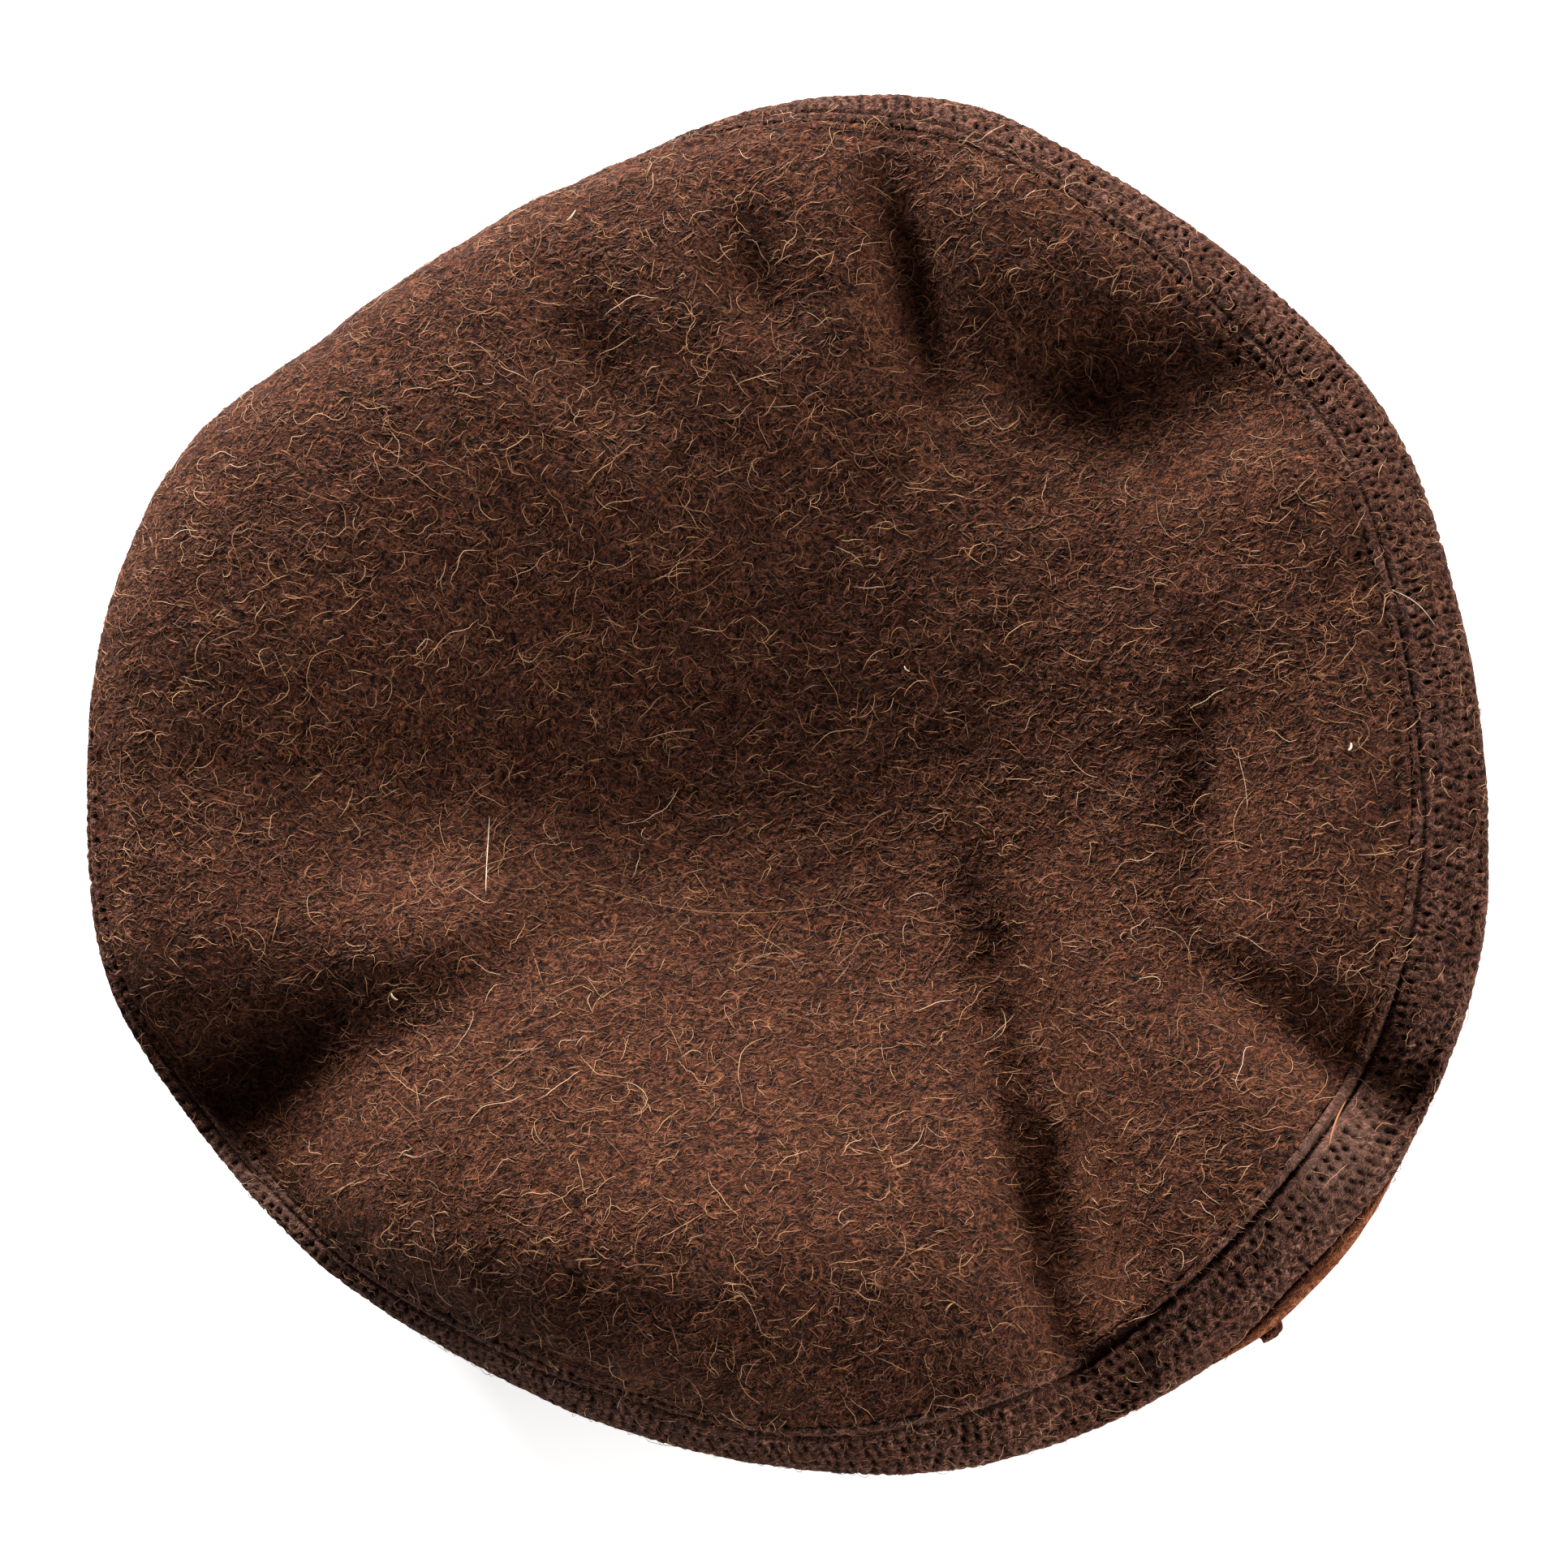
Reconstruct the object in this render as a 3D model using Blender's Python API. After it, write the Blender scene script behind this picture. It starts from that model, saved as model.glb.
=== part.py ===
"""A pakol: a round cap of felted wool, lying crown up on its rolled brim.

The crown is a felt disc with a stitched band round its edge. The side cloth comes out from under the
band, goes in to the head opening, and is wound outwards and up into the brim. Every piece is turned
about +Z from a plain strip, and each of its points is then moved to its place on the cap's section.
Seen from above, +Y is the far edge of the cap and +X its right. Lengths in the tables are millimetres.
"""

import math

import bmesh
import bpy
import numpy as np

MM = 0.001
SECTIONS = 84  # sections round the cap
# Where creases run out to the edge the sections lie closer together: angle, spread and how much closer.
CLOSER_SECTIONS = ((-59.0, 13.0, 2.2), (-26.0, 10.0, 1.0), (-150.0, 12.0, 0.8), (75.0, 9.0, 0.8))
WALL = 3.0  # the felt's thickness
SEAM_GAP = 0.3  # between two pieces of felt that meet at a seam

# The crown's edge, a row every 15 degrees, turning left from +X: how far out it reaches, how high the
# crown's shoulder stands, how wide that shoulder is, how far the edge droops below it, how far the seam
# of the band lies inside the outermost point, along the felt (negative where it has turned under), and
# how far the band's hem lies beyond that point. The band is 22 wide where the far edge hides none of it.
EDGE_COLUMNS = ("reach", "height", "shoulder", "droop", "seam", "hem")
EDGE = (
    (125.2, 61.0, 18.0, 9.0, 17.0, 5.0),
    (124.8, 61.0, 18.0, 9.0, 17.0, 5.0),
    (127.0, 61.0, 18.0, 9.0, 17.0, 5.0),
    (125.8, 60.5, 20.0, 9.5, 16.0, 6.0),
    (126.6, 60.0, 20.0, 10.0, 13.5, 8.5),
    (130.4, 60.0, 20.0, 9.0, 12.5, 9.5),
    (127.9, 60.0, 22.0, 10.0, 9.0, 12.5),
    (122.1, 60.0, 24.0, 11.0, 2.5, 16.5),
    (121.1, 60.0, 25.0, 12.0, -3.5, 18.0),
    (123.3, 60.0, 25.0, 12.0, -5.0, 19.0),
    (131.7, 61.0, 25.0, 12.0, -4.0, 20.0),
    (133.1, 61.5, 24.0, 12.5, 0.5, 20.0),
    (131.9, 58.5, 22.0, 11.0, 5.5, 16.5),
    (131.6, 59.0, 22.0, 12.0, 7.5, 14.5),
    (126.0, 59.5, 24.0, 13.5, 9.5, 12.5),
    (122.1, 64.5, 30.0, 16.5, 11.5, 10.5),
    (119.0, 66.0, 32.0, 18.0, 13.0, 9.0),
    (119.6, 66.0, 30.0, 18.0, 14.5, 7.5),
    (122.4, 65.0, 27.0, 16.5, 14.5, 7.5),
    (126.3, 63.0, 24.0, 13.0, 16.5, 5.5),
    (128.2, 61.5, 21.0, 10.5, 18.0, 4.0),
    (128.9, 61.0, 19.0, 9.5, 20.0, 2.0),
    (128.9, 61.0, 19.0, 9.5, 19.5, 2.5),
    (127.9, 61.0, 18.0, 9.0, 18.5, 3.5),
)

MIDDLE_HEIGHT = 61.0  # the height that the crown would have at its middle without sagging
SAG = 17.0  # how far its middle hangs below that

# Dents in the crown, in plan: middle, the way that the long side runs (degrees left of +X), half the
# length and half the width of the felt that gives, and the depth (negative for a bulge).
DENT_COLUMNS = ("x", "y", "turn", "half_long", "half_wide", "depth")
DENTS = (
    (-12.0, 3.0, 178.0, 135.0, 46.0, 10.0),  # the long hollow across the middle
    (-92.0, -51.0, 17.0, 23.0, 12.5, 9.5),  # the deep fold at the left of the near side
    (-64.0, -25.0, 12.0, 19.0, 12.0, -7.0),  # the bulge beyond it
    (48.0, -94.0, 92.0, 23.0, 6.5, 9.5),  # the sharp foot of the long crease
    (46.5, -66.0, 95.0, 24.0, 7.5, 7.5),  # the crease further in
    (40.0, -36.0, 108.0, 20.0, 9.0, 5.0),  # its soft end
    (79.5, -6.0, 89.0, 22.0, 6.0, 6.0),  # the right-hand crease
    (87.0, -34.0, 135.0, 18.0, 7.5, 6.0),  # where it bends outwards
    (101.0, -49.0, 140.0, 12.0, 9.0, 7.0),  # the dimple that it ends in
    (96.0, -12.0, 80.0, 24.0, 9.0, -3.0),  # the bulge right of it
    (25.0, 88.0, 100.0, 24.0, 6.5, 9.0),  # the streak at the far side
    (60.0, 65.0, 154.0, 28.0, 14.0, 11.0),  # the broad dent right of it
    (88.0, 47.0, 150.0, 18.0, 11.0, -4.0),  # the bulge below that
    (-3.0, 92.0, 110.0, 11.0, 6.5, 4.0),  # two mild dents near the far edge
    (-34.0, 78.0, 120.0, 16.0, 9.0, 4.0),
)

DENT_FADE = 0.45  # the share of the shoulder over which dents fade out towards the edge

UNDER_REACH = 9.0  # the turn below the outermost point, in plan and in height
UNDER_DROP = 7.0
PUFF = 1.6  # how far the side cloth shows beyond the band, at its most
PUFF_ANGLE = math.radians(-44)
PUFF_SPREAD = math.radians(12)
PUFF_LENGTH = 7.0  # along the felt
SEAM_NICK = 0.7  # how far the felt dips at the seam
NICK_LENGTH = 1.6

HEAD_RADIUS = 92.0  # inside the head opening, which makes a 58 cm head size
ROLL_FOLLOWS = 0.3  # the share of the edge's unevenness that the brim takes on

# The brim's section, from the cleft below the crown round to the inside of the head opening: how far
# out from the inner face of the head opening, and how high.
ROLL_COLUMNS = ("out", "up")
ROLL = (
    (7.2, 42.5),
    (4.2, 35.5),
    (7.0, 38.4),
    (12.5, 39.8),
    (19.0, 37.4),
    (24.2, 30.0),
    (26.0, 20.0),
    (24.6, 9.0),
    (20.8, 2.4),
    (16.0, 0.0),
    (6.0, 0.0),
    (1.8, 2.4),
    (0.0, 9.0),
    (0.0, 20.0),
    (0.4, 32.0),
    (3.0, 40.5),
)
NECK_OUT, NECK_UP = ROLL[0]
# Soft waves round the brim: how many, how large a share of its thickness, and where they start.
ROLL_WAVES = ((3, 0.030, 0.4), (5, 0.025, 1.9), (8, 0.015, 0.7))

TAB_ANGLE = math.radians(-48.2)
TAB_SIZE = (3.4, 4.0, 2.8)  # out, along the edge, up
TAB_DROP = 5.2  # its middle, below the edge's outermost point
TAB_ROUNDING = 1.1
TAB_SEAT = 0.96  # how far the side's flat faces lie inside its smooth section where the tab sits

# The crown disc's rings, as shares of the way from its middle to the seam.
RING_SHARES = (0.0, 0.12, 0.25, 0.37, 0.48, 0.58, 0.67, 0.75, 0.83, 0.895, 0.945, 0.98, 1.0)
BAND_STEPS = 6  # steps across the band, and across the side cloth under the crown
SIDE_STEPS = 6
NECK_STOP = 1.5  # how far before the neck the side cloth's own steps end and the brim's section starts
SHARP_ANGLE = math.radians(50)

CROWN_STEPS = 60  # points read along the crown, its shoulder, the turn under it and the underside
SHOULDER_STEPS = 24
TURN_STEPS = 12
UNDER_STEPS = 16

FELT_BROWN = (0.060, 0.026, 0.014, 1.0)
BAND_BROWN = (0.048, 0.022, 0.013, 1.0)
SIDE_BROWN = (0.105, 0.040, 0.018, 1.0)
FELT_ROUGHNESS = 0.95


def table(rows, columns):
    """The rows as one array for each named column."""
    return {name: np.array(values, float) for name, values in zip(columns, zip(*rows))}


EDGE_TABLE = table(EDGE, EDGE_COLUMNS)
DENT_TABLE = table(DENTS, DENT_COLUMNS)
ROLL_TABLE = table(ROLL, ROLL_COLUMNS)


def around(angle, name):
    """A column of the edge's table at any angle, on a smooth closed curve through its rows."""
    column = EDGE_TABLE[name]
    place = np.asarray(angle) / math.tau * len(column)
    row = np.floor(place).astype(int)
    t = place - row
    before, here, after, beyond = (column[(row + k) % len(column)] for k in (-1, 0, 1, 2))
    bend = 2 * before - 5 * here + 4 * after - beyond
    twist = 3 * (here - after) + beyond - before
    return here + 0.5 * t * (after - before + t * (bend + t * twist))


def eased(share):
    """0 to 1 with a level start and end."""
    share = np.clip(share, 0, 1)
    return share * share * (3 - 2 * share)


def bump(distance):
    """1 at no distance, falling smoothly towards 0 past a distance of 1."""
    return np.exp(-(distance**2))


def section_angles():
    """The angle of each section: evenly spaced, apart from where creases need more of them."""
    fine = np.linspace(0, math.tau, 3601)
    density = np.ones_like(fine)
    for middle, spread, closer in CLOSER_SECTIONS:
        density += closer * bump(angle_between(fine, math.radians(middle)) / math.radians(spread))
    passed = np.concatenate([[0], np.cumsum(density[1:])])
    return np.interp(np.arange(SECTIONS) / SECTIONS * passed[-1], passed, fine)


def head_radius(angle):
    """The inner face of the head opening."""
    mean = EDGE_TABLE["reach"].mean()
    return HEAD_RADIUS * (1 + ROLL_FOLLOWS * (around(angle, "reach") / mean - 1))


def section(angle):
    """The felt's outer face at one angle, from the crown's middle over the edge to the neck: the way
    walked from the outermost point (negative on top), and the radius and height there."""
    reach, height, shoulder, droop = (around(angle, name) for name in EDGE_COLUMNS[:4])
    share = np.linspace(0, 1, CROWN_STEPS, endpoint=False)
    crown_r = share * (reach - shoulder)
    crown_z = MIDDLE_HEIGHT + (height - MIDDLE_HEIGHT) * eased(share) - SAG * (1 - share**2) ** 2
    over = np.linspace(math.pi / 2, 0, SHOULDER_STEPS)
    over_r = reach - shoulder * (1 - np.cos(over))
    over_z = height - droop * (1 - np.sin(over))
    under = np.linspace(0, math.pi / 2, TURN_STEPS + 1)[1:]
    under_r = reach - UNDER_REACH * (1 - np.cos(under))
    under_z = height - droop - UNDER_DROP * np.sin(under)
    inwards = np.linspace(0, 1, UNDER_STEPS + 1)[1:]
    neck_r = head_radius(angle) + NECK_OUT
    back_r = under_r[-1] + (neck_r - under_r[-1]) * inwards
    back_z = under_z[-1] + (NECK_UP - under_z[-1]) * eased(inwards)
    radius = np.concatenate([crown_r, over_r, under_r, back_r])
    up = np.concatenate([crown_z, over_z, under_z, back_z])
    walked = np.concatenate([[0], np.cumsum(np.hypot(np.diff(radius), np.diff(up)))])
    walked -= walked[CROWN_STEPS + SHOULDER_STEPS - 1]
    side_way = walked - band_end(angle)
    puff = PUFF * bump((angle_between(angle, PUFF_ANGLE)) / PUFF_SPREAD)
    radius = radius + puff * eased(side_way) * bump(np.maximum(side_way - 1, 0) / PUFF_LENGTH)
    return walked, radius, up


def angle_between(a, b):
    """The turn from b to a, the short way round."""
    return (a - b + math.pi) % math.tau - math.pi


def band_start(angle):
    """Where the stitched band starts, as a way walked from the outermost point."""
    return -around(angle, "seam")


def band_end(angle):
    """Where the band ends and the side cloth starts."""
    return around(angle, "hem")


def dent_depth(x, y):
    """How far all the dents together lower the felt at a place in plan."""
    depth = np.zeros_like(x)
    for k in range(len(DENTS)):
        turn = math.radians(DENT_TABLE["turn"][k])
        dx = x - DENT_TABLE["x"][k]
        dy = y - DENT_TABLE["y"][k]
        along = (dx * math.cos(turn) + dy * math.sin(turn)) / DENT_TABLE["half_long"][k]
        across = (dy * math.cos(turn) - dx * math.sin(turn)) / DENT_TABLE["half_wide"][k]
        depth += DENT_TABLE["depth"][k] * bump(np.hypot(along, across))
    return depth


def on_felt(angle, way, inside):
    """Points on the cap's felt at one angle: way is walked from the outermost point, and inside is the
    depth below the felt's outer face. Dents fade out over the shoulder."""
    walked, radius, up = section(angle)
    slope_r = np.gradient(radius, walked)
    slope_z = np.gradient(up, walked)
    slope_r, slope_z = slope_r / np.hypot(slope_r, slope_z), slope_z / np.hypot(slope_r, slope_z)
    r = np.interp(way, walked, radius) + inside * np.interp(way, walked, slope_z)
    z = np.interp(way, walked, up) - inside * np.interp(way, walked, slope_r)
    x = r * math.cos(angle)
    y = r * math.sin(angle)
    on_top = eased(-way / (DENT_FADE * around(angle, "shoulder")))
    return np.stack([x, y, z - on_top * dent_depth(x, y)], axis=1)


def turned_strip(outline):
    """A closed strip outline turned once about +Z, as a mesh: an outline point's first number stays the
    vertex's distance from the axis and its second its height, until the vertices are moved."""
    bm = bmesh.new()
    points = [bm.verts.new((x, 0, z)) for x, z in outline]
    edges = [bm.edges.new(pair) for pair in zip(points, points[1:])]
    if outline[0][0] > 0:
        edges.append(bm.edges.new((points[-1], points[0])))
    bmesh.ops.spin(
        bm, geom=points + edges, cent=(0, 0, 0), axis=(0, 0, 1),
        angle=math.tau, steps=SECTIONS, use_merge=True, use_duplicate=False,
    )
    bmesh.ops.remove_doubles(bm, verts=bm.verts, dist=1e-5)
    bmesh.ops.recalc_face_normals(bm, faces=bm.faces)
    return bm


def placed(bm, outline, places):
    """Moves each vertex of a turned strip to its place, and returns the vertices by section and outline
    point. places(angle) gives the places of the outline's points at one angle."""
    stations = np.array(outline)
    grid = {}
    for vertex in bm.verts:
        turn = round(math.atan2(vertex.co.y, vertex.co.x) / math.tau * SECTIONS) % SECTIONS
        off = np.abs(stations - (math.hypot(vertex.co.x, vertex.co.y), vertex.co.z)).sum(axis=1)
        grid[turn, int(off.argmin())] = vertex
    for turn, angle in enumerate(section_angles()):
        for station, place in enumerate(places(angle)):
            if (turn, station) in grid:
                grid[turn, station].co = place * MM
    return grid


def split_cut_edge(grid, outer, inner):
    """Splits each face of a strip's cut edge the same way, so that two pieces that meet at a seam keep
    their gap all along it, also where the seam twists."""
    for turn in range(SECTIONS):
        start, end = grid[turn, outer], grid[(turn + 1) % SECTIONS, inner]
        face = (set(start.link_faces) & set(end.link_faces)).pop()
        bmesh.utils.face_split(face, start, end)


def split_along_creases(bm):
    """Splits each four-sided face by its shorter diagonal, the one that runs along a crease."""
    bmesh.ops.triangulate(bm, faces=bm.faces, quad_method="SHORT_EDGE")


def strip_outline(steps, start=1.0):
    """Outline of a strip with steps along it: its outer face forwards, then its inner face back. start
    is the distance of its first point from the axis, 0 for a disc."""
    across = [start + k for k in range(steps + 1)]
    return [(x, 1.0) for x in across] + [(x, 0.0) for x in reversed(across)]


def felt_material(name, colour):
    material = bpy.data.materials.new(name)
    material.use_nodes = True
    shader = material.node_tree.nodes["Principled BSDF"]
    shader.inputs["Base Color"].default_value = colour
    shader.inputs["Roughness"].default_value = FELT_ROUGHNESS
    shader.inputs["Metallic"].default_value = 0.0
    material.diffuse_color = colour
    return material


def add_piece(name, bm, colour, collection):
    mesh = bpy.data.meshes.new(name)
    bm.to_mesh(mesh)
    bm.free()
    mesh.shade_smooth()
    mesh.set_sharp_from_angle(angle=SHARP_ANGLE)
    mesh.materials.append(felt_material(name + "_felt", colour))
    piece = bpy.data.objects.new(name, mesh)
    collection.objects.link(piece)
    return piece


def crown_top(collection):
    """The felt disc inside the seam. Its rings lie closer together towards the edge."""
    outer_end = len(RING_SHARES) - 1
    outline = strip_outline(outer_end, start=0.0)

    def places(angle):
        middle = section(angle)[0][0]
        last = band_start(angle) - SEAM_GAP / 2
        way = middle + (last - middle) * np.array(RING_SHARES)
        nick = SEAM_NICK * bump((way - last) / NICK_LENGTH)
        outer = on_felt(angle, way, nick)
        inner = on_felt(angle, way, np.full(len(way), WALL))
        outer[0, :2] = inner[0, :2] = 0
        return np.concatenate([outer, inner[::-1]])

    bm = turned_strip(outline)
    grid = placed(bm, outline, places)
    split_cut_edge(grid, outer_end, outer_end + 1)
    split_along_creases(bm)
    return add_piece("crown_top", bm, FELT_BROWN, collection)


def stitched_band(collection):
    """The quilted band, from the seam over the edge to its own end."""
    outline = strip_outline(BAND_STEPS)

    def places(angle):
        first = band_start(angle) + SEAM_GAP / 2
        last = band_end(angle) - SEAM_GAP / 2
        way = np.linspace(first, last, BAND_STEPS + 1)
        outer = on_felt(angle, way, SEAM_NICK * bump((way - first) / NICK_LENGTH))
        inner = on_felt(angle, way, np.full(len(way), WALL))
        return np.concatenate([outer, inner[::-1]])

    bm = turned_strip(outline)
    grid = placed(bm, outline, places)
    split_cut_edge(grid, 0, len(outline) - 1)
    split_cut_edge(grid, BAND_STEPS, BAND_STEPS + 1)
    split_along_creases(bm)
    return add_piece("stitched_band", bm, BAND_BROWN, collection)


def rolled_side(collection):
    """The side cloth under the crown, in one piece with the brim that is wound from it."""
    strip = SIDE_STEPS + 1
    across = [1.0 + k for k in range(strip)]
    outline = [(x, 1.0) for x in across]
    outline += [(1.0 + strip + k, 1.0) for k in range(len(ROLL))]
    outline += [(x, 0.0) for x in reversed(across)]

    def places(angle):
        walked = section(angle)[0]
        way = np.linspace(band_end(angle) + SEAM_GAP / 2, walked[-1] - NECK_STOP, strip)
        outer = on_felt(angle, way, np.zeros(strip))
        inner = on_felt(angle, way, np.full(strip, WALL))
        wave = 1 + sum(size * math.sin(count * angle + start) for count, size, start in ROLL_WAVES)
        thick = np.where(ROLL_TABLE["out"] > NECK_OUT, wave, 1.0)
        r = head_radius(angle) + ROLL_TABLE["out"] * thick
        roll = np.stack([r * math.cos(angle), r * math.sin(angle), ROLL_TABLE["up"]], axis=1)
        return np.concatenate([outer, roll, inner[::-1]])

    bm = turned_strip(outline)
    grid = placed(bm, outline, places)
    split_cut_edge(grid, 0, len(outline) - 1)
    return add_piece("rolled_side", bm, SIDE_BROWN, collection)


def seam_tab(collection):
    """The nub where the side's seam ends, against the side cloth just below the band."""
    bm = bmesh.new()
    bmesh.ops.create_cube(bm, size=1.0)
    bmesh.ops.scale(bm, vec=[size * MM for size in TAB_SIZE], verts=bm.verts)
    bmesh.ops.bevel(
        bm, geom=bm.edges[:], offset=TAB_ROUNDING * MM, offset_type="OFFSET", affect="EDGES",
        segments=2, profile=0.5, material=-1,
    )
    piece = add_piece("seam_tab", bm, SIDE_BROWN, collection)
    radius, up = section(TAB_ANGLE)[1:]
    middle = around(TAB_ANGLE, "height") - around(TAB_ANGLE, "droop") - TAB_DROP
    beside = np.abs(up - middle) < TAB_SIZE[2] / 2
    r = (radius[beside].max() - TAB_SEAT + SEAM_GAP + TAB_SIZE[0] / 2) * MM
    piece.location = (r * math.cos(TAB_ANGLE), r * math.sin(TAB_ANGLE), middle * MM)
    piece.rotation_euler = (0, 0, TAB_ANGLE)
    return piece


def centre(pieces, collection):
    """Hangs the pieces on an empty that puts the middle of their bounding box over the origin."""
    bpy.context.view_layer.update()
    corners = [piece.matrix_world @ vertex.co for piece in pieces for vertex in piece.data.vertices]
    low, high = np.min(corners, axis=0), np.max(corners, axis=0)
    middle = bpy.data.objects.new("pakol_middle", None)
    collection.objects.link(middle)
    middle.location = (-(low[0] + high[0]) / 2, -(low[1] + high[1]) / 2, 0)
    for piece in pieces:
        piece.parent = middle


def main():
    for thing in list(bpy.data.objects):
        bpy.data.objects.remove(thing)
    collection = bpy.data.collections.new("pakol")
    bpy.context.scene.collection.children.link(collection)
    pieces = [make(collection) for make in (crown_top, stitched_band, rolled_side, seam_tab)]
    centre(pieces, collection)


main()
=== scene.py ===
"""The looks of a pakol lying crown up on its rolled brim: thick fulled wool felt, a band quilted with close
rows of stitches, and the loose hairs of the wool. Lengths in the tables are millimetres."""

import math

import bmesh
import bpy
import numpy as np
from mathutils import Matrix, Vector, noise


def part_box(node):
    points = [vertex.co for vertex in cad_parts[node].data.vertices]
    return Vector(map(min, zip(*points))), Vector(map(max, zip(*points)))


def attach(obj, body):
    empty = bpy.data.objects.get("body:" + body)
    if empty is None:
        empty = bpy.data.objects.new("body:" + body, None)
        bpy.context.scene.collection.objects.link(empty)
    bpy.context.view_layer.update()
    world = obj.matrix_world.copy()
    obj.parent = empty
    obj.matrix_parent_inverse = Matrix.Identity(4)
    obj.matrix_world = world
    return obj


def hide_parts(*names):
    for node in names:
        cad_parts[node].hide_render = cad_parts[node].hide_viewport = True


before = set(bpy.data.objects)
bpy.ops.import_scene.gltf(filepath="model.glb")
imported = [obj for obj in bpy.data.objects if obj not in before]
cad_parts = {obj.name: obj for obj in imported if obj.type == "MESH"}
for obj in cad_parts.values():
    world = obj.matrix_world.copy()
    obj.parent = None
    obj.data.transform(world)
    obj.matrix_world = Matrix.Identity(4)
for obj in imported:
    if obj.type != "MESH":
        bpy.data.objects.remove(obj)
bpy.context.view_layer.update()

MM = 0.001
MIDDLE_X, MIDDLE_Y = 3.17332894, -2.68139318  # the head's axis, off the middle of the cap's box
WALL = 3.0  # the felt's thickness
SEAM_GAP = 0.08  # between the two felts that meet in a seam

# The crown's edge, a row every 15 degrees, turning left from +X: how far out it reaches, how high the
# crown's shoulder stands, how wide that shoulder is, how far the edge droops below it, how far the seam
# of the band lies inside the outermost point, along the felt, and how far its hem lies beyond it.
EDGE_COLUMNS = ("reach", "height", "shoulder", "droop", "seam", "hem")
EDGE = (
    (125.2, 61.0, 18.0, 9.0, 17.0, 5.0),
    (124.8, 61.0, 18.0, 9.0, 17.0, 5.0),
    (127.0, 61.0, 18.0, 9.0, 17.0, 5.0),
    (125.8, 60.5, 20.0, 9.5, 16.0, 6.0),
    (126.6, 60.0, 20.0, 10.0, 13.5, 8.5),
    (130.4, 60.0, 20.0, 9.0, 12.5, 9.5),
    (127.9, 60.0, 22.0, 10.0, 9.0, 12.5),
    (122.1, 60.0, 24.0, 11.0, 2.5, 16.5),
    (121.1, 60.0, 25.0, 12.0, -3.5, 18.0),
    (123.3, 60.0, 25.0, 12.0, -5.0, 19.0),
    (131.7, 61.0, 25.0, 12.0, -4.0, 20.0),
    (133.1, 61.5, 24.0, 12.5, 0.5, 20.0),
    (131.9, 58.5, 22.0, 11.0, 5.5, 16.5),
    (131.6, 59.0, 22.0, 12.0, 7.5, 14.5),
    (126.0, 59.5, 24.0, 13.5, 9.5, 12.5),
    (122.1, 64.5, 30.0, 16.5, 11.5, 10.5),
    (119.0, 66.0, 32.0, 18.0, 13.0, 9.0),
    (119.6, 66.0, 30.0, 18.0, 14.5, 7.5),
    (122.4, 65.0, 27.0, 16.5, 14.5, 7.5),
    (126.3, 63.0, 24.0, 13.0, 16.5, 5.5),
    (128.2, 61.5, 21.0, 10.5, 18.0, 4.0),
    (128.9, 61.0, 19.0, 9.5, 20.0, 2.0),
    (128.9, 61.0, 19.0, 9.5, 19.5, 2.5),
    (127.9, 61.0, 18.0, 9.0, 18.5, 3.5),
)
MIDDLE_HEIGHT = 61.0  # the height that the crown would have at its middle without sagging
SAG = 17.0  # how far its middle hangs below that

# Dents in the crown, in plan: middle, the way the long side runs (degrees left of +X), half the length
# and half the width of the felt that gives, and the depth (negative for a bulge).
DENT_COLUMNS = ("x", "y", "turn", "half_long", "half_wide", "depth")
DENTS = (
    (-6.0, -8.0, 178.0, 108.0, 43.0, 9.8),  # the long hollow across the middle
    (-96.0, -53.5, 6.0, 26.0, 16.0, 8.8),  # the deep fold at the left of the near side
    (-64.0, -25.0, 12.0, 19.0, 12.0, -7.0),  # the bulge beyond it
    (51.5, -86.0, 100.0, 20.0, 8.2, 12.0),  # the sharp foot of the long crease
    (49.0, -66.0, 102.0, 22.0, 7.2, 11.5),  # the crease further in
    (40.5, -37.0, 106.0, 20.0, 7.0, 8.5),  # its soft end
    (76.5, -9.0, 89.0, 26.0, 7.5, 3.8),  # the right-hand crease
    (85.0, -42.0, 137.0, 18.0, 7.0, 7.0),  # where it bends outwards
    (103.0, -54.5, 145.0, 14.0, 9.5, 8.0),  # the dimple that it ends in
    (96.0, -12.0, 80.0, 24.0, 9.0, -3.0),  # the bulge right of it
    (25.0, 88.0, 100.0, 24.0, 6.5, 9.0),  # the streak at the far side
    (59.0, 67.0, 154.0, 29.0, 15.0, 12.0),  # the broad dent right of it
    (83.0, 70.0, 145.0, 14.0, 8.0, 3.0),  # its narrow right end
    (92.0, 50.0, 150.0, 17.0, 10.0, -3.0),  # the bulge below that
    (-3.0, 92.0, 110.0, 11.0, 6.5, 4.0),  # two mild dents near the far edge
    (-34.0, 78.0, 120.0, 16.0, 9.0, 4.0),
    (-9.0, -83.0, 3.0, 50.0, 20.0, -6.5),  # the felt swells before it rolls over the near edge
    (-84.0, -68.0, 135.0, 34.0, 22.0, 5.5),  # and lies lower at the left of that
    (48.0, 47.0, 152.0, 30.0, 15.0, 3.0),  # the low ground below the broad dent
    (-8.0, 19.0, 0.0, 50.0, 26.0, -2.4),  # a faint swelling in the long hollow
)
DENT_FADE = 0.38  # the share of the shoulder over which dents fade out towards the edge
# Hollows along the edge: the angle of the middle and half the angle that they run over, in degrees, the way
# from the outermost point, half the width, and the depth.
HOLLOW_COLUMNS = ("middle", "run", "way", "half_wide", "depth")
HOLLOWS = (
    (254.0, 34.0, -7.0, 13.0, 5.0),  # the near edge hangs
    (219.0, 17.0, -5.0, 17.0, 4.0),  # and more so at the left
    (296.6, 4.0, -14.0, 11.0, 4.8),  # the long crease runs out over the edge
)
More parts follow.
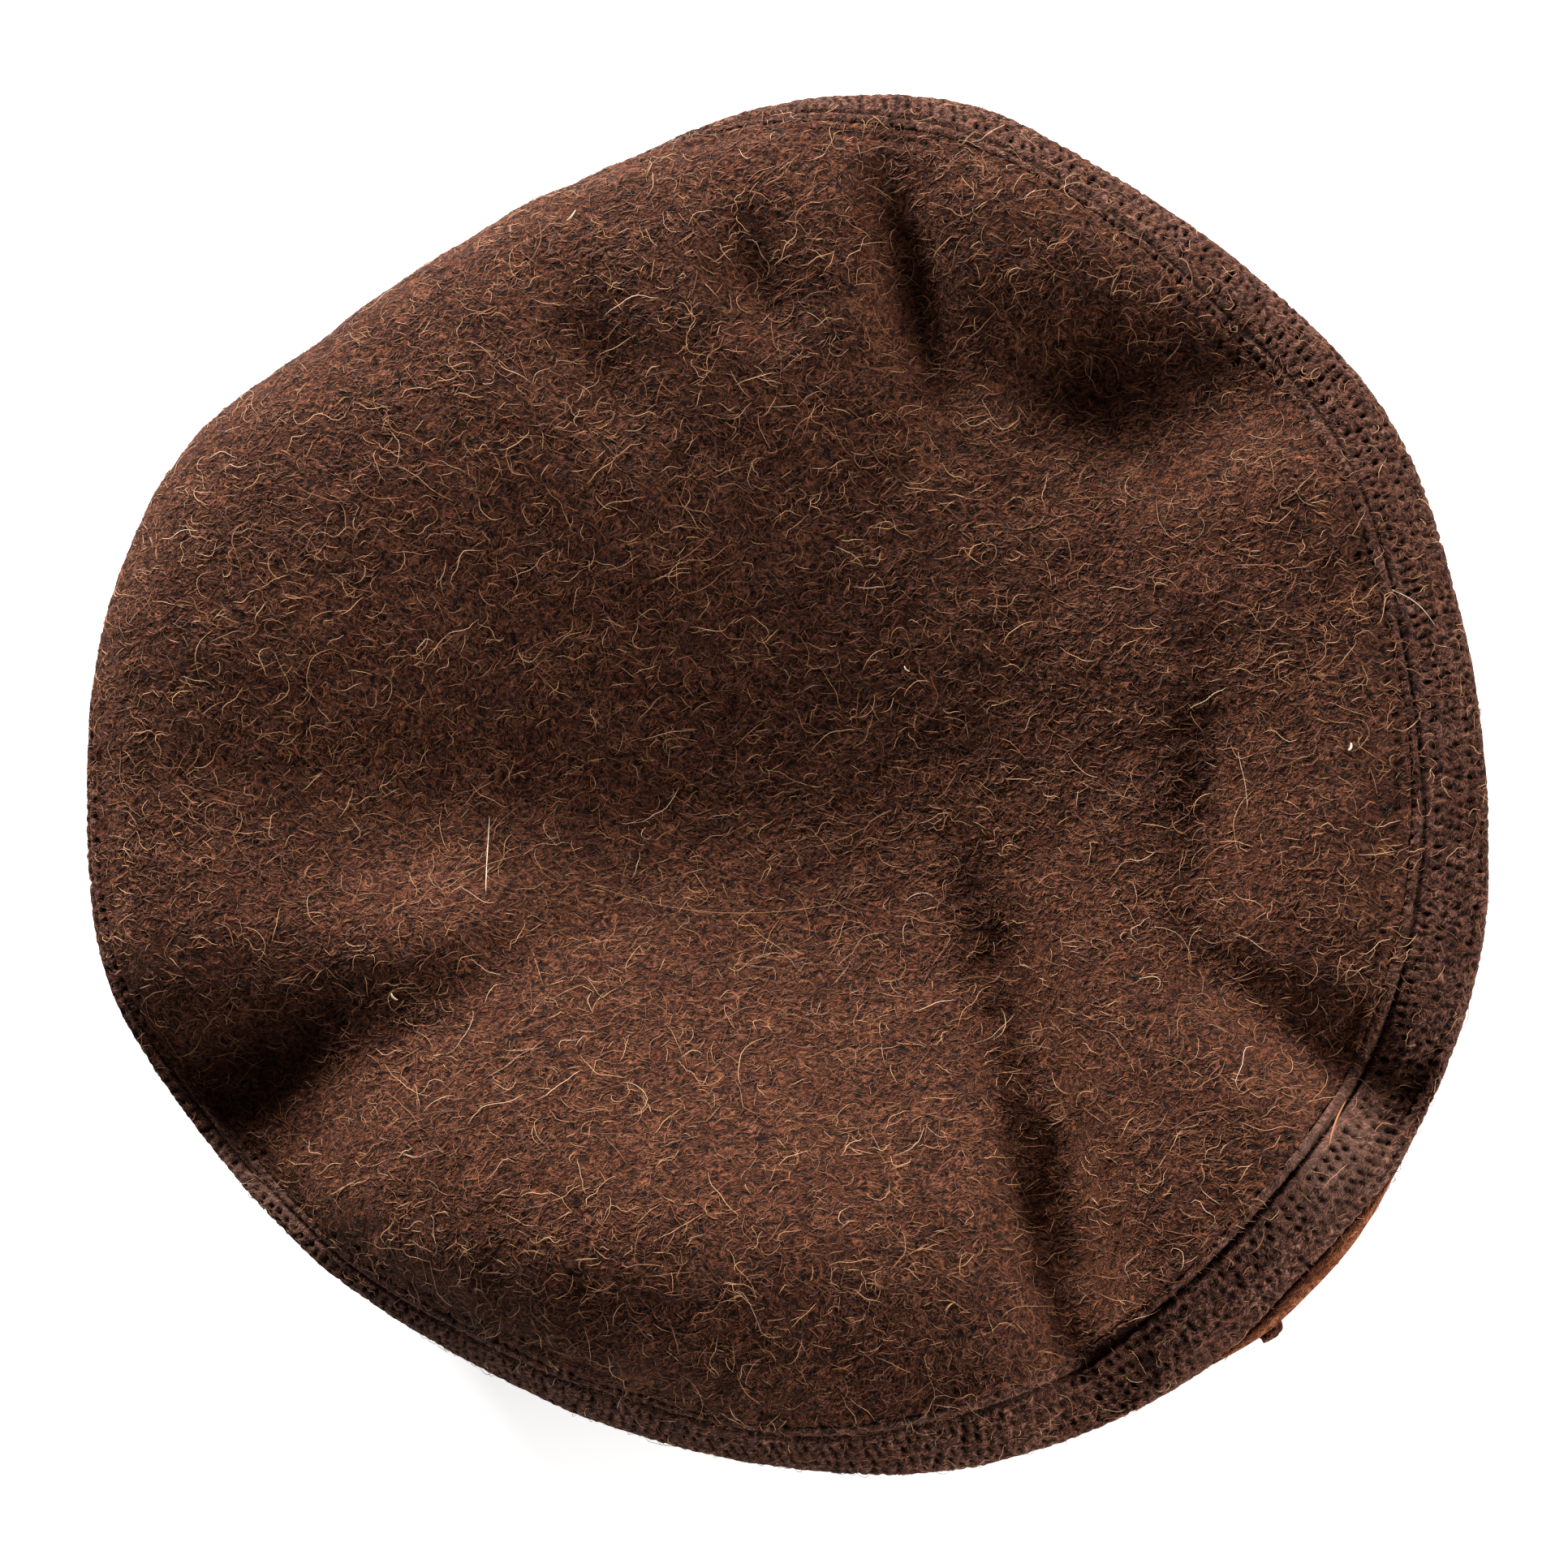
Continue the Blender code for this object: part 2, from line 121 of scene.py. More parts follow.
# Where dents are deeper than the room below the crown, they press down the side cloth and the brim's top:
# that room, the share of the rest that is passed on, and how much wider it spreads than the dent itself.
PRESS_ROOM, PRESS_SHARE, PRESS_WIDENED = 1.5, 0.71, 1.5
# The cleft between the side cloth and the brim's top: how far it closes before the brim is pressed down
# too, and how far out from the neck it has opened to that.
CLEFT_ROOM, CLEFT_REACH = 5.0, 12.0
PRESS_REACH = 8.0  # the way below the outermost point over which the side cloth starts to give

UNDER_REACH = 9.0  # the turn below the outermost point, in plan and in height
UNDER_DROP = 7.0
PUFF = 1.6  # how far the side cloth shows beyond the band, at its most
PUFF_ANGLE = math.radians(-44)
PUFF_SPREAD = math.radians(12)
PUFF_LENGTH = 7.0  # along the felt
STRIP = 5.5  # and how far the hem is drawn back over it there
STRIP_SPREAD = math.radians(10)

HEAD_RADIUS = 92.0  # inside the head opening, which makes a 58 cm head size
ROLL_FOLLOWS = 0.3  # the share of the edge's unevenness that the brim takes on
# The brim's section: how far out from the inner face of the head opening, and how high.
ROLL_COLUMNS = ("out", "up")
ROLL = (
    (7.2, 42.5),
    (4.2, 35.5),
    (7.0, 38.4),
    (12.5, 39.8),
    (19.0, 37.4),
    (24.2, 30.0),
    (26.0, 20.0),
    (24.6, 9.0),
    (20.8, 2.4),
    (16.0, 0.0),
    (6.0, 0.0),
    (1.8, 2.4),
    (0.0, 9.0),
    (0.0, 20.0),
    (0.4, 32.0),
    (3.0, 40.5),
)
NECK_OUT, NECK_UP = ROLL[0]
SECTION_STEPS = 12  # between one row of that table and the next
# Waves in the brim's thickness: how many round the cap, how strong, and where they start.
ROLL_WAVES = ((3, 0.030, 0.4), (5, 0.025, 1.9), (8, 0.015, 0.7))
# Where one turn of the wound felt lies over the next: its way along the brim's section from the cleft, how
# far that way wanders round the cap, how wide the line is, and how deep.
WIND_COLUMNS = ("way", "wander", "width", "depth")
WINDINGS = (
    (29.0, 2.5, 1.5, 2.0),
    (44.0, 3.5, 1.8, 1.9),
    (103.0, 2.0, 1.5, 1.2),
)
LAP_SOFT = 2.2  # how much wider a lap slopes off on its far side
# Slanting wrinkles in the wound felt: their length, width, slant and depth.
WRINKLE_LENGTH, WRINKLE_WIDE, WRINKLE_SLANT, WRINKLE_DEPTH = 16.0, 4.0, 12.0, 0.55
FLAT_UP_TO, FULL_OVER = 0.3, 2.0  # above the floor, where the brim lies flat, and until its relief is full

TAB_ANGLE = math.radians(-48.2)
TAB_SIZE = (3.4, 4.0, 2.8)  # out, along the edge, up
TAB_SHIFT = (-0.9, -1.2, 0.0)  # from its solid's middle, mostly along the edge

# The rows of stitches: the way from the seam (negative on the crown's rim), how deep the felt is drawn in
# along the row and half the width of that groove, how deep at each stitch, and half the length of the pit
# across the row. Felt between the pits stays proud, as small ribs.
STITCHES = 349  # in each row round the cap, one every 2.2 mm
PIT_HALF_WIDE = 0.45
SLIP = 0.7  # how far stitches stray from their even places, end to end
ROW_COLUMNS = ("way", "draw", "groove", "pit", "pit_reach")
STITCH_ROWS = (
    (-2.3, 0.12, 0.5, 0.80, 0.80),
    (0.0, 0.12, 0.5, 0.80, 0.80),
    (2.3, 0.80, 0.4, 0.30, 0.60),
    (4.6, 0.15, 0.6, 0.85, 0.85),
    (6.8, 0.15, 0.6, 0.85, 0.85),
    (9.0, 0.15, 0.6, 0.85, 0.85),
    (11.2, 0.15, 0.6, 0.85, 0.85),
    (13.4, 0.15, 0.6, 0.85, 0.85),
    (15.6, 0.15, 0.6, 0.85, 0.85),
    (17.8, 0.15, 0.6, 0.85, 0.85),
    (20.0, 0.15, 0.6, 0.85, 0.85),
)
STITCH_RADIUS = 125.0  # where the stitches' spacing is read
STITCH_LENGTH = math.tau * STITCH_RADIUS / STITCHES
STITCH_PULL = (0.35, 1.2)  # how tight the slackest and the tightest stitches are drawn
STITCH_SHADE_DEPTH = 0.8  # how far drawn in the felt is where the painted shade in the stitches is darkest
RIM_ROWS = 2  # the rows on the crown's rim and over the seam
# At the lower right the rim is drawn up into a twisted ridge, and its rows are lost in it: the ridge's way
# from the seam, its height, half its width, and where and over how wide an angle it runs.
RIDGE_WAY, RIDGE_HEIGHT, RIDGE_HALF_WIDE = -0.3, 0.9, 1.7
RIDGE_ANGLE = math.radians(-52)
RIDGE_SPREAD = math.radians(30)
RIDGE_TWISTS = 190  # puckers of its twist, all round

# Where the band is worn: middle in plan, and how far round it.
WORN = ((94.0, -66.0, 11.0), (-97.0, -69.0, 13.0))

# The felt's own unevenness: size and depth of its broad lumps and of its fine ones, how far apart the two
# are read in the noise, and the crown's middle, where they fade out.
LUMP_SIZE, LUMP_DEPTH = 9.0, 0.45
FINE_SIZE, FINE_DEPTH = 3.2, 0.22
NOISE_APART = 40.0
MIDDLE_RADIUS = 12.0
BAND_LUMPS, SIDE_LUMPS, BRIM_LUMPS = 0.4, 0.5, 0.6  # their strength on the other pieces
HEM_DEPTH, HEM_WIDE = 0.5, 0.6  # the band's hem is drawn in
GATHERS, GATHER_DEPTH = 66, 0.35  # puckers of the side cloth, where it runs in to the neck
NECK_ROOM = 1.5  # how far before the neck the side cloth hands over to the brim

# Stations of the felt's section: over the crown, the shoulder, the turn below it and in to the neck.
CROWN_STEPS = 90
SHOULDER_STEPS = 40
TURN_STEPS = 20
UNDER_STEPS = 24

# Faces of the pieces, round the cap and along the felt.
CROWN_SECTIONS, CROWN_RINGS, RIM_RINGS = 2 * STITCHES, 52, 16
RIM_WIDE = 8.0  # the crown's rim, with its rings set close for the stitches
BAND_SECTIONS, BAND_RINGS = 6 * STITCHES, 34
SIDE_SECTIONS, SIDE_RINGS, ROLL_RINGS = 360, 14, 60
CROWN_BACK_RINGS, BACK_RINGS = 9, 5  # on the inner faces, which are plain

WOOL_SEED = 20
STITCH_SEED = 7


def table(rows, columns):
    """The rows as one array for each named column."""
    return {name: np.array(values, float) for name, values in zip(columns, zip(*rows))}


EDGE_TABLE = table(EDGE, EDGE_COLUMNS)
DENT_TABLE = table(DENTS, DENT_COLUMNS)
ROW_TABLE = table(STITCH_ROWS, ROW_COLUMNS)
WIND_TABLE = table(WINDINGS, WIND_COLUMNS)
HOLLOW_TABLE = table(HOLLOWS, HOLLOW_COLUMNS)
ROLL_TABLE = table(ROLL, ROLL_COLUMNS)


def around(angle, name):
    """A column of the edge's table at any angle, on a smooth closed curve through its rows."""
    column = EDGE_TABLE[name]
    place = np.asarray(angle) / math.tau * len(column)
    row = np.floor(place).astype(int)
    t = place - row
    before, here, after, beyond = (column[(row + k) % len(column)] for k in (-1, 0, 1, 2))
    bend = 2 * before - 5 * here + 4 * after - beyond
    twist = 3 * (here - after) + beyond - before
    return here + 0.5 * t * (after - before + t * (bend + t * twist))


def eased(share):
    """0 to 1 with a level start and end."""
    share = np.clip(share, 0, 1)
    return share * share * (3 - 2 * share)


def bump(distance):
    """1 at no distance, falling smoothly towards 0 past a distance of 1."""
    return np.exp(-(distance**2))


def angle_between(a, b):
    """The turn from b to a, the short way round."""
    return (a - b + math.pi) % math.tau - math.pi


def unit(vectors):
    """The vectors [..., xyz] at a length of 1."""
    return vectors / np.maximum(np.linalg.norm(vectors, axis=-1, keepdims=True), 1e-9)


def unevenness(points, size, strength):
    """Smooth noise at each point [..., xyz], for the hand-made unevenness of felt at about that size."""
    flat = points.reshape(-1, 3) / size
    values = [noise.noise(Vector(p)) for p in flat]
    return np.array(values).reshape(points.shape[:-1]) * strength


def hem_way(angle):
    """The way of the band's hem below the outermost point. It is drawn back where the side cloth shows."""
    return around(angle, "hem") - STRIP * bump(angle_between(angle, PUFF_ANGLE) / STRIP_SPREAD)


def head_radius(angle):
    """The radius of the head opening, which follows the edge a little."""
    mean = EDGE_TABLE["reach"].mean()
    return HEAD_RADIUS * (1 + ROLL_FOLLOWS * (around(angle, "reach") / mean - 1))


def sections(angles):
    """The felt's outer face from the crown's middle over the edge to the neck, a row for each angle: the
    way walked from the outermost point (negative on top), and the radius and height there."""
    reach, height, shoulder, droop = (around(angles, name)[:, None] for name in EDGE_COLUMNS[:4])
    share = np.linspace(0, 1, CROWN_STEPS, endpoint=False)
    crown_r = share * (reach - shoulder)
    crown_z = MIDDLE_HEIGHT + (height - MIDDLE_HEIGHT) * eased(share) - SAG * (1 - share**2) ** 2
    over = np.linspace(math.pi / 2, 0, SHOULDER_STEPS)
    over_r = reach - shoulder * (1 - np.cos(over))
    over_z = height - droop * (1 - np.sin(over))
    under = np.linspace(0, math.pi / 2, TURN_STEPS + 1)[1:]
    under_r = reach - UNDER_REACH * (1 - np.cos(under))
    under_z = height - droop - UNDER_DROP * np.sin(under)
    inwards = np.linspace(0, 1, UNDER_STEPS + 1)[1:]
    neck_r = (head_radius(angles) + NECK_OUT)[:, None]
    back_r = under_r[:, -1:] + (neck_r - under_r[:, -1:]) * inwards
    back_z = under_z[:, -1:] + (NECK_UP - under_z[:, -1:]) * eased(inwards)
    radius = np.concatenate([crown_r, over_r, under_r, back_r], axis=1)
    up = np.concatenate([crown_z, over_z, under_z, back_z], axis=1)
    steps = np.hypot(np.diff(radius, axis=1), np.diff(up, axis=1))
    walked = np.concatenate([np.zeros((len(angles), 1)), np.cumsum(steps, axis=1)], axis=1)
    walked -= walked[:, CROWN_STEPS + SHOULDER_STEPS - 1, None]
    side_way = walked - hem_way(angles)[:, None]
    puff = PUFF * bump(angle_between(angles, PUFF_ANGLE) / PUFF_SPREAD)[:, None]
    radius = radius + puff * eased(side_way) * bump(np.maximum(side_way - 1, 0) / PUFF_LENGTH)
    return walked, radius, up


def dent_depth(x, y, widened=1.0):
    """How far all the dents together lower the felt at a place in plan."""
    depth = np.zeros_like(x)
    for k in range(len(DENTS)):
        turn = math.radians(DENT_TABLE["turn"][k])
        dx = x - DENT_TABLE["x"][k]
        dy = y - DENT_TABLE["y"][k]
        along = (dx * math.cos(turn) + dy * math.sin(turn)) / DENT_TABLE["half_long"][k]
        across = (dy * math.cos(turn) - dx * math.sin(turn)) / (widened * DENT_TABLE["half_wide"][k])
        depth += DENT_TABLE["depth"][k] * bump(np.hypot(along, across))
    return depth


def pressed_depth(x, y):
    """How far the deepest dents press down what lies below the crown, at a place in plan."""
    return PRESS_SHARE * np.maximum(dent_depth(x, y, PRESS_WIDENED) - PRESS_ROOM, 0)


def hollow_depth(angles, ways):
    """How far the hollows along the edge lower the felt at [angle, station]."""
    depth = np.zeros_like(ways)
    for k in range(len(HOLLOWS)):
        row = {name: HOLLOW_TABLE[name][k] for name in HOLLOW_COLUMNS}
        round_cap = angle_between(angles, math.radians(row["middle"])) / math.radians(row["run"])
        depth += row["depth"] * bump(round_cap)[:, None] * bump((ways - row["way"]) / row["half_wide"])
    return depth


def on_felt(angles, ways, inside=0.0):
    """Points [angle, station, xyz] on the felt: ways is walked from the outermost point, and inside is
    the depth below the felt's outer face. Dents fade out over the shoulder."""
    walked, radius, up = sections(angles)
    slope_r = np.gradient(radius, axis=1)
    slope_z = np.gradient(up, axis=1)
    slope = np.hypot(slope_r, slope_z)
    inside = np.broadcast_to(inside, ways.shape)
    rows = []
    for k, way in enumerate(ways):
        run = np.interp(way, walked[k], slope_r[k] / slope[k])
        rise = np.interp(way, walked[k], slope_z[k] / slope[k])
        r = np.interp(way, walked[k], radius[k]) + inside[k] * rise
        z = np.interp(way, walked[k], up[k]) - inside[k] * run
        rows.append((r, z))
    r, z = np.array(rows).transpose(1, 0, 2)
    x = r * np.cos(angles)[:, None]
    y = r * np.sin(angles)[:, None]
    on_top = eased(-ways / (DENT_FADE * around(angles, "shoulder")[:, None]))
    lower = on_top * dent_depth(x, y) + eased(ways / PRESS_REACH) * pressed_depth(x, y)
    return np.stack([x, y, z - lower - hollow_depth(angles, ways)], axis=2)


def even_angles(count):
    """That many angles, evenly round the cap."""
    return np.arange(count) / count * math.tau


def middle_way(angles):
    """The way from the outermost point back to the crown's middle, as a negative number."""
    return sections(angles)[0][:, 0]


def grid_normals(points):
    """Outward normals of points [angle, station, xyz] that run from the crown's middle downwards."""
    round_cap = np.roll(points, -1, axis=0) - np.roll(points, 1, axis=0)
    down_felt = np.gradient(points, axis=1)
    normals = unit(np.cross(down_felt, round_cap))
    small = np.linalg.norm(round_cap, axis=2) < 1e-6
    normals[small] = (0, 0, 1)
    return normals


def add_piece(name, bm, material):
    """Shows a bmesh as a piece of the cap."""
    mesh = bpy.data.meshes.new(name)
    bm.to_mesh(mesh)
    bm.free()
    return show_mesh(name, mesh, material)


def show_mesh(name, mesh, material):
    """Shows a mesh as a piece of the cap, with its material, under a slot of the frame."""
    mesh.shade_smooth()
    mesh.materials.append(material)
    piece = bpy.data.objects.new(name, mesh)
    bpy.context.scene.collection.objects.link(piece)
    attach(piece, "root")
    return piece


def to_scene(points):
    """Millimetres about the head's axis as the scene's metres."""
    return ((points + (MIDDLE_X, MIDDLE_Y, 0)) * MM).astype(np.float32)


def wrapped_felt(name, places, closed, material, marks=None):
    """A grid wrapped once round the cap. Its vertices go to places [angle, station, xyz], where the stations
    follow a section that closes on itself or else starts and ends in the crown's middle. The marks
    [angle, station] stay as attributes that the material reads."""
    count, stations = places.shape[:2]
    rows = stations if closed else stations - 1
    bm = bmesh.new()
    bmesh.ops.create_grid(bm, x_segments=count, y_segments=rows, size=0.5)
    mesh = bpy.data.meshes.new(name)
    bm.to_mesh(mesh)
    found = np.empty(len(mesh.vertices) * 3, np.float32)
    mesh.vertices.foreach_get("co", found)
    across, along = found.reshape(-1, 3)[:, 0] + 0.5, found.reshape(-1, 3)[:, 1] + 0.5
    turn = np.round(across * count).astype(int) % count
    station = np.round(along * rows).astype(int) % stations
    mesh.vertices.foreach_set("co", to_scene(places[turn, station]).ravel())
    for mark, values in (marks or {}).items():
        attribute = mesh.attributes.new(mark, "FLOAT", "POINT")
        attribute.data.foreach_set("value", values[turn, station].astype(np.float32))
    bm.clear()
    bm.from_mesh(mesh)
    bmesh.ops.remove_doubles(bm, verts=bm.verts, dist=1e-6)
    bmesh.ops.recalc_face_normals(bm, faces=bm.faces)
    bm.to_mesh(mesh)
    bm.free()
    return show_mesh(name, mesh, material)


def felt_strip(name, ways, back, relief, material, slot, marks=None):
    """A piece of the felt over its ways [angle, station]: the outer face drawn in by its relief, and a
    plain inner face with that many rings."""
    angles = even_angles(len(ways))
    front = ways.shape[1] - 1
    picked = [round(k * front / back) for k in range(back, -1, -1)]
    outer = on_felt(angles, ways)
    outer -= grid_normals(outer) * relief[..., None]
    inner = on_felt(angles, ways[:, picked], WALL)
    from_middle = slot == "crown_top"
    if from_middle:
        outer[:, 0, :2] = inner[:, -1, :2] = 0
    places = np.concatenate([outer, inner], axis=1)
    kept = {}
    for mark, values in (marks or {}).items():
        kept[mark] = np.concatenate([values, values[:, picked] * 0], axis=1)
    return wrapped_felt(name, places, not from_middle, material, kept)


def felt_lumps(points):
    """How far the fulled felt is drawn in by its own unevenness."""
    broad = unevenness(points, LUMP_SIZE, LUMP_DEPTH)
    return broad + unevenness(points + NOISE_APART, FINE_SIZE, FINE_DEPTH)


def stitch_relief(angles, ways):
    """How far the rows of stitches draw the felt in at [angle, station], and how much shade is painted at
    each spot for it.
    Every other row's stitches lie half a stitch along, as rows sewn one after another do, and no stitch
    is drawn quite as tight as the next."""
    from_seam = ways + around(angles, "seam")[:, None]
    turn = angles[:, None]
    on_ridge = bump(angle_between(turn, RIDGE_ANGLE) / RIDGE_SPREAD)
    sewing = np.random.default_rng(STITCH_SEED)
    tightness = sewing.uniform(*STITCH_PULL, (len(STITCH_ROWS), STITCHES))
    slip = sewing.uniform(-0.5, 0.5, (2, len(STITCH_ROWS), STITCHES))
    drawn = np.zeros_like(ways)
    for k in range(len(STITCH_ROWS)):
        row = {name: ROW_TABLE[name][k] for name in ROW_COLUMNS}
        wander = 0.28 * np.sin(7 * turn + 2.1 * k) + 0.18 * np.sin(17 * turn + 1.3 * k)
        place = turn / math.tau * STITCHES + 0.5 * (k % 2) + 0.35 * np.sin(11 * turn + k)
        stitch = np.round(place).astype(int)
        tight = tightness[k, stitch % STITCHES]
        along_slip, across_slip = slip[:, k, stitch % STITCHES] * SLIP
        across = from_seam - row["way"] - wander
        pit = row["pit"] * tight * bump(((place - stitch) * STITCH_LENGTH - along_slip) / PIT_HALF_WIDE)
        pit = pit * bump((across - across_slip) / row["pit_reach"])
        shown = 1 - on_ridge if k < RIM_ROWS else 1
        drawn += shown * (row["draw"] * bump(across / row["groove"]) + pit)
    # Painted shade: each spot is painted darker the deeper the stitches draw it in, standing in for the pits'
    # own shade.
    dark = drawn / STITCH_SHADE_DEPTH
    across = (from_seam - RIDGE_WAY) / RIDGE_HALF_WIDE
    twist = 1 + 0.4 * np.sin(turn * RIDGE_TWISTS + 1.6 * across)
    drawn -= RIDGE_HEIGHT * on_ridge * bump(across) * twist
    # Painted shade in the low puckers of the ridge's twist.
    dark += 0.5 * on_ridge * bump(across) * (1.4 - twist)
    return drawn, np.clip(dark, 0, 1)


def worn_share(points):
    """How worn and greyed the band's felt is at each point."""
    worn = np.zeros(points.shape[:-1])
    for x, y, radius in WORN:
        worn += bump(np.hypot(points[..., 0] - x, points[..., 1] - y) / radius)
    return np.clip(worn, 0, 1)


def crown_top(material):
    """The felt disc inside the seam, with the two rows of stitches on its rim."""
    angles = even_angles(CROWN_SECTIONS)
    first = middle_way(angles)[:, None]
    last = -around(angles, "seam")[:, None] - SEAM_GAP / 2
    share = np.linspace(0, 1, CROWN_RINGS + 1)
    disc = first + (last - RIM_WIDE - first) * share
    rim = last - RIM_WIDE * np.linspace(1, 0, RIM_RINGS + 1)[1:]
    ways = np.concatenate([disc, rim], axis=1)
    drawn, dark = stitch_relief(angles, ways)
    shape = on_felt(angles, ways)
    from_middle = np.hypot(shape[..., 0], shape[..., 1])
    relief = drawn + felt_lumps(shape) * eased(from_middle / MIDDLE_RADIUS)
    # The stitches' painted shade goes to the material as an attribute.
    marks = {"painted_stitch_shade": dark}
    piece = felt_strip("crown_felt", ways, CROWN_BACK_RINGS, relief, material, "crown_top", marks)
    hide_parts("crown_top")
    return piece


def stitched_band(material):
    """The quilted band, from the seam over the edge to its hem."""
    angles = even_angles(BAND_SECTIONS)
    first = -around(angles, "seam")[:, None] + SEAM_GAP / 2
    last = hem_way(angles)[:, None] - SEAM_GAP / 2
    ways = first + (last - first) * np.linspace(0, 1, BAND_RINGS + 1)
    drawn, dark = stitch_relief(angles, ways)
    hem = HEM_DEPTH * bump((last - ways) / HEM_WIDE)
    relief = drawn + hem + BAND_LUMPS * felt_lumps(on_felt(angles, ways))
    # The stitches' painted shade and the band's real wear go to the material as attributes.
    marks = {"painted_stitch_shade": dark, "worn": worn_share(on_felt(angles, ways))}
    piece = felt_strip("quilted_band", ways, BACK_RINGS, relief, material, "stitched_band", marks)
    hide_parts("stitched_band")
    return piece


def roll_section():
    """The brim's section as evenly spaced points on a smooth line through its table, with their ways."""
    rows = np.stack([ROLL_TABLE[name] for name in ROLL_COLUMNS], axis=1)
    rows = np.concatenate([rows[:1], rows, rows[-1:]])
    line = []
    for before, here, after, beyond in zip(rows, rows[1:], rows[2:], rows[3:]):
        t = np.linspace(0, 1, SECTION_STEPS, endpoint=False)[:, None]
        bend = 2 * before - 5 * here + 4 * after - beyond
        twist = 3 * (here - after) + beyond - before
        line.append(here + 0.5 * t * (after - before + t * (bend + t * twist)))
    line = np.concatenate(line + [rows[-1:]])
    line[:, 1] = np.maximum(line[:, 1], 0)
    way = np.concatenate([[0], np.cumsum(np.hypot(*np.diff(line, axis=0).T))])
    even = np.linspace(0, way[-1], ROLL_RINGS + 1)
    return even, np.stack([np.interp(even, way, line[:, k]) for k in (0, 1)], axis=1)


def roll_places(angles):
    """Points [angle, station, xyz] on the brim, with the laps and wrinkles of felt that is wound up."""
    way, line = roll_section()
    wave = 1 + sum(size * np.sin(count * angles + start) for count, size, start in ROLL_WAVES)
    thick = np.where(line[:, 0] > NECK_OUT, wave[:, None], 1.0)
    radius = head_radius(angles)[:, None] + line[:, 0] * thick
    x = radius * np.cos(angles)[:, None]
    y = radius * np.sin(angles)[:, None]
    room = CLEFT_ROOM * eased((line[:, 0] - NECK_OUT) / CLEFT_REACH)
    up = line[:, 1] - eased(line[:, 1] / NECK_UP) * np.maximum(pressed_depth(x, y) - room, 0)
    places = np.stack([x, y, up], axis=2)
    drawn = np.zeros_like(x)
    for k in range(len(WINDINGS)):
        row = {name: WIND_TABLE[name][k] for name in WIND_COLUMNS}
        middle = row["way"] + row["wander"] * np.sin(2 * angles + k) + 0.8 * np.sin(9 * angles + 2 * k)
        off = (way - middle[:, None]) / row["width"]
        drawn += row["depth"] * np.where(off > 0, bump(off / LAP_SOFT), bump(off))
    slant = (np.broadcast_to(way, x.shape) + WRINKLE_SLANT * angles[:, None]) / WRINKLE_WIDE
    slanted = np.stack([x / WRINKLE_LENGTH, y / WRINKLE_LENGTH, slant], axis=2)
    drawn += unevenness(slanted, 1.0, WRINKLE_DEPTH) + BRIM_LUMPS * felt_lumps(places)
    standing = eased((places[..., 2] - FLAT_UP_TO) / FULL_OVER)
    places -= grid_normals(places) * (drawn * standing)[..., None]
    places[..., 2] = np.maximum(places[..., 2], 0)
    return way, places


def rolled_side(material):
    """The side cloth: out from under the band, in to the cleft, and wound up into the brim."""
    angles = even_angles(SIDE_SECTIONS)
    walked = sections(angles)[0]
    first = hem_way(angles)[:, None] + SEAM_GAP / 2
    last = walked[:, -1:] - NECK_ROOM
    share = np.linspace(0, 1, SIDE_RINGS + 1)
    ways = first + (last - first) * share
    outer = on_felt(angles, ways)
    gathers = GATHER_DEPTH * np.sin(angles * GATHERS + 3 * np.sin(angles * 5))[:, None] * eased(share)
    outer -= grid_normals(outer) * (gathers + SIDE_LUMPS * felt_lumps(outer))[..., None]
    picked = [round(k * SIDE_RINGS / BACK_RINGS) for k in range(BACK_RINGS + 1)][::-1]
    inner = on_felt(angles, ways[:, picked], WALL)
    places = np.concatenate([outer, roll_places(angles)[1], inner], axis=1)
    piece = wrapped_felt("wound_side", places, True, material)
    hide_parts("rolled_side")
    return piece


def seam_tab(material):
    """The nub where the side's seam ends: a small folded end of felt, rounded and lumpy."""
    bm = bmesh.new()
    bmesh.ops.create_cube(bm, size=1.0)
    bmesh.ops.subdivide_edges(bm, edges=bm.edges[:], cuts=15, use_grid_fill=True)
    low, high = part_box("seam_tab")
    middle = (Vector(low) + Vector(high)) / 2
    for vertex in bm.verts:
        rounded = vertex.co.lerp(vertex.co.normalized() * 0.6, 0.9)
        fold = bump((rounded.y - 0.3 * rounded.x) / 0.09) * 0.10
        lump = 0.20 * noise.noise(rounded * 3.1) + 0.09 * noise.noise(rounded * 8)
        vertex.co = rounded * (1.08 + lump - fold)
    bmesh.ops.scale(bm, vec=[size * MM for size in TAB_SIZE], verts=bm.verts)
    bmesh.ops.rotate(bm, cent=(0, 0, 0), matrix=Matrix.Rotation(TAB_ANGLE, 3, "Z"), verts=bm.verts)
    bmesh.ops.translate(bm, vec=middle + Vector(TAB_SHIFT) * MM, verts=bm.verts)
    piece = add_piece("seam_end_nub", bm, material)
    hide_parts("seam_tab")
    return piece


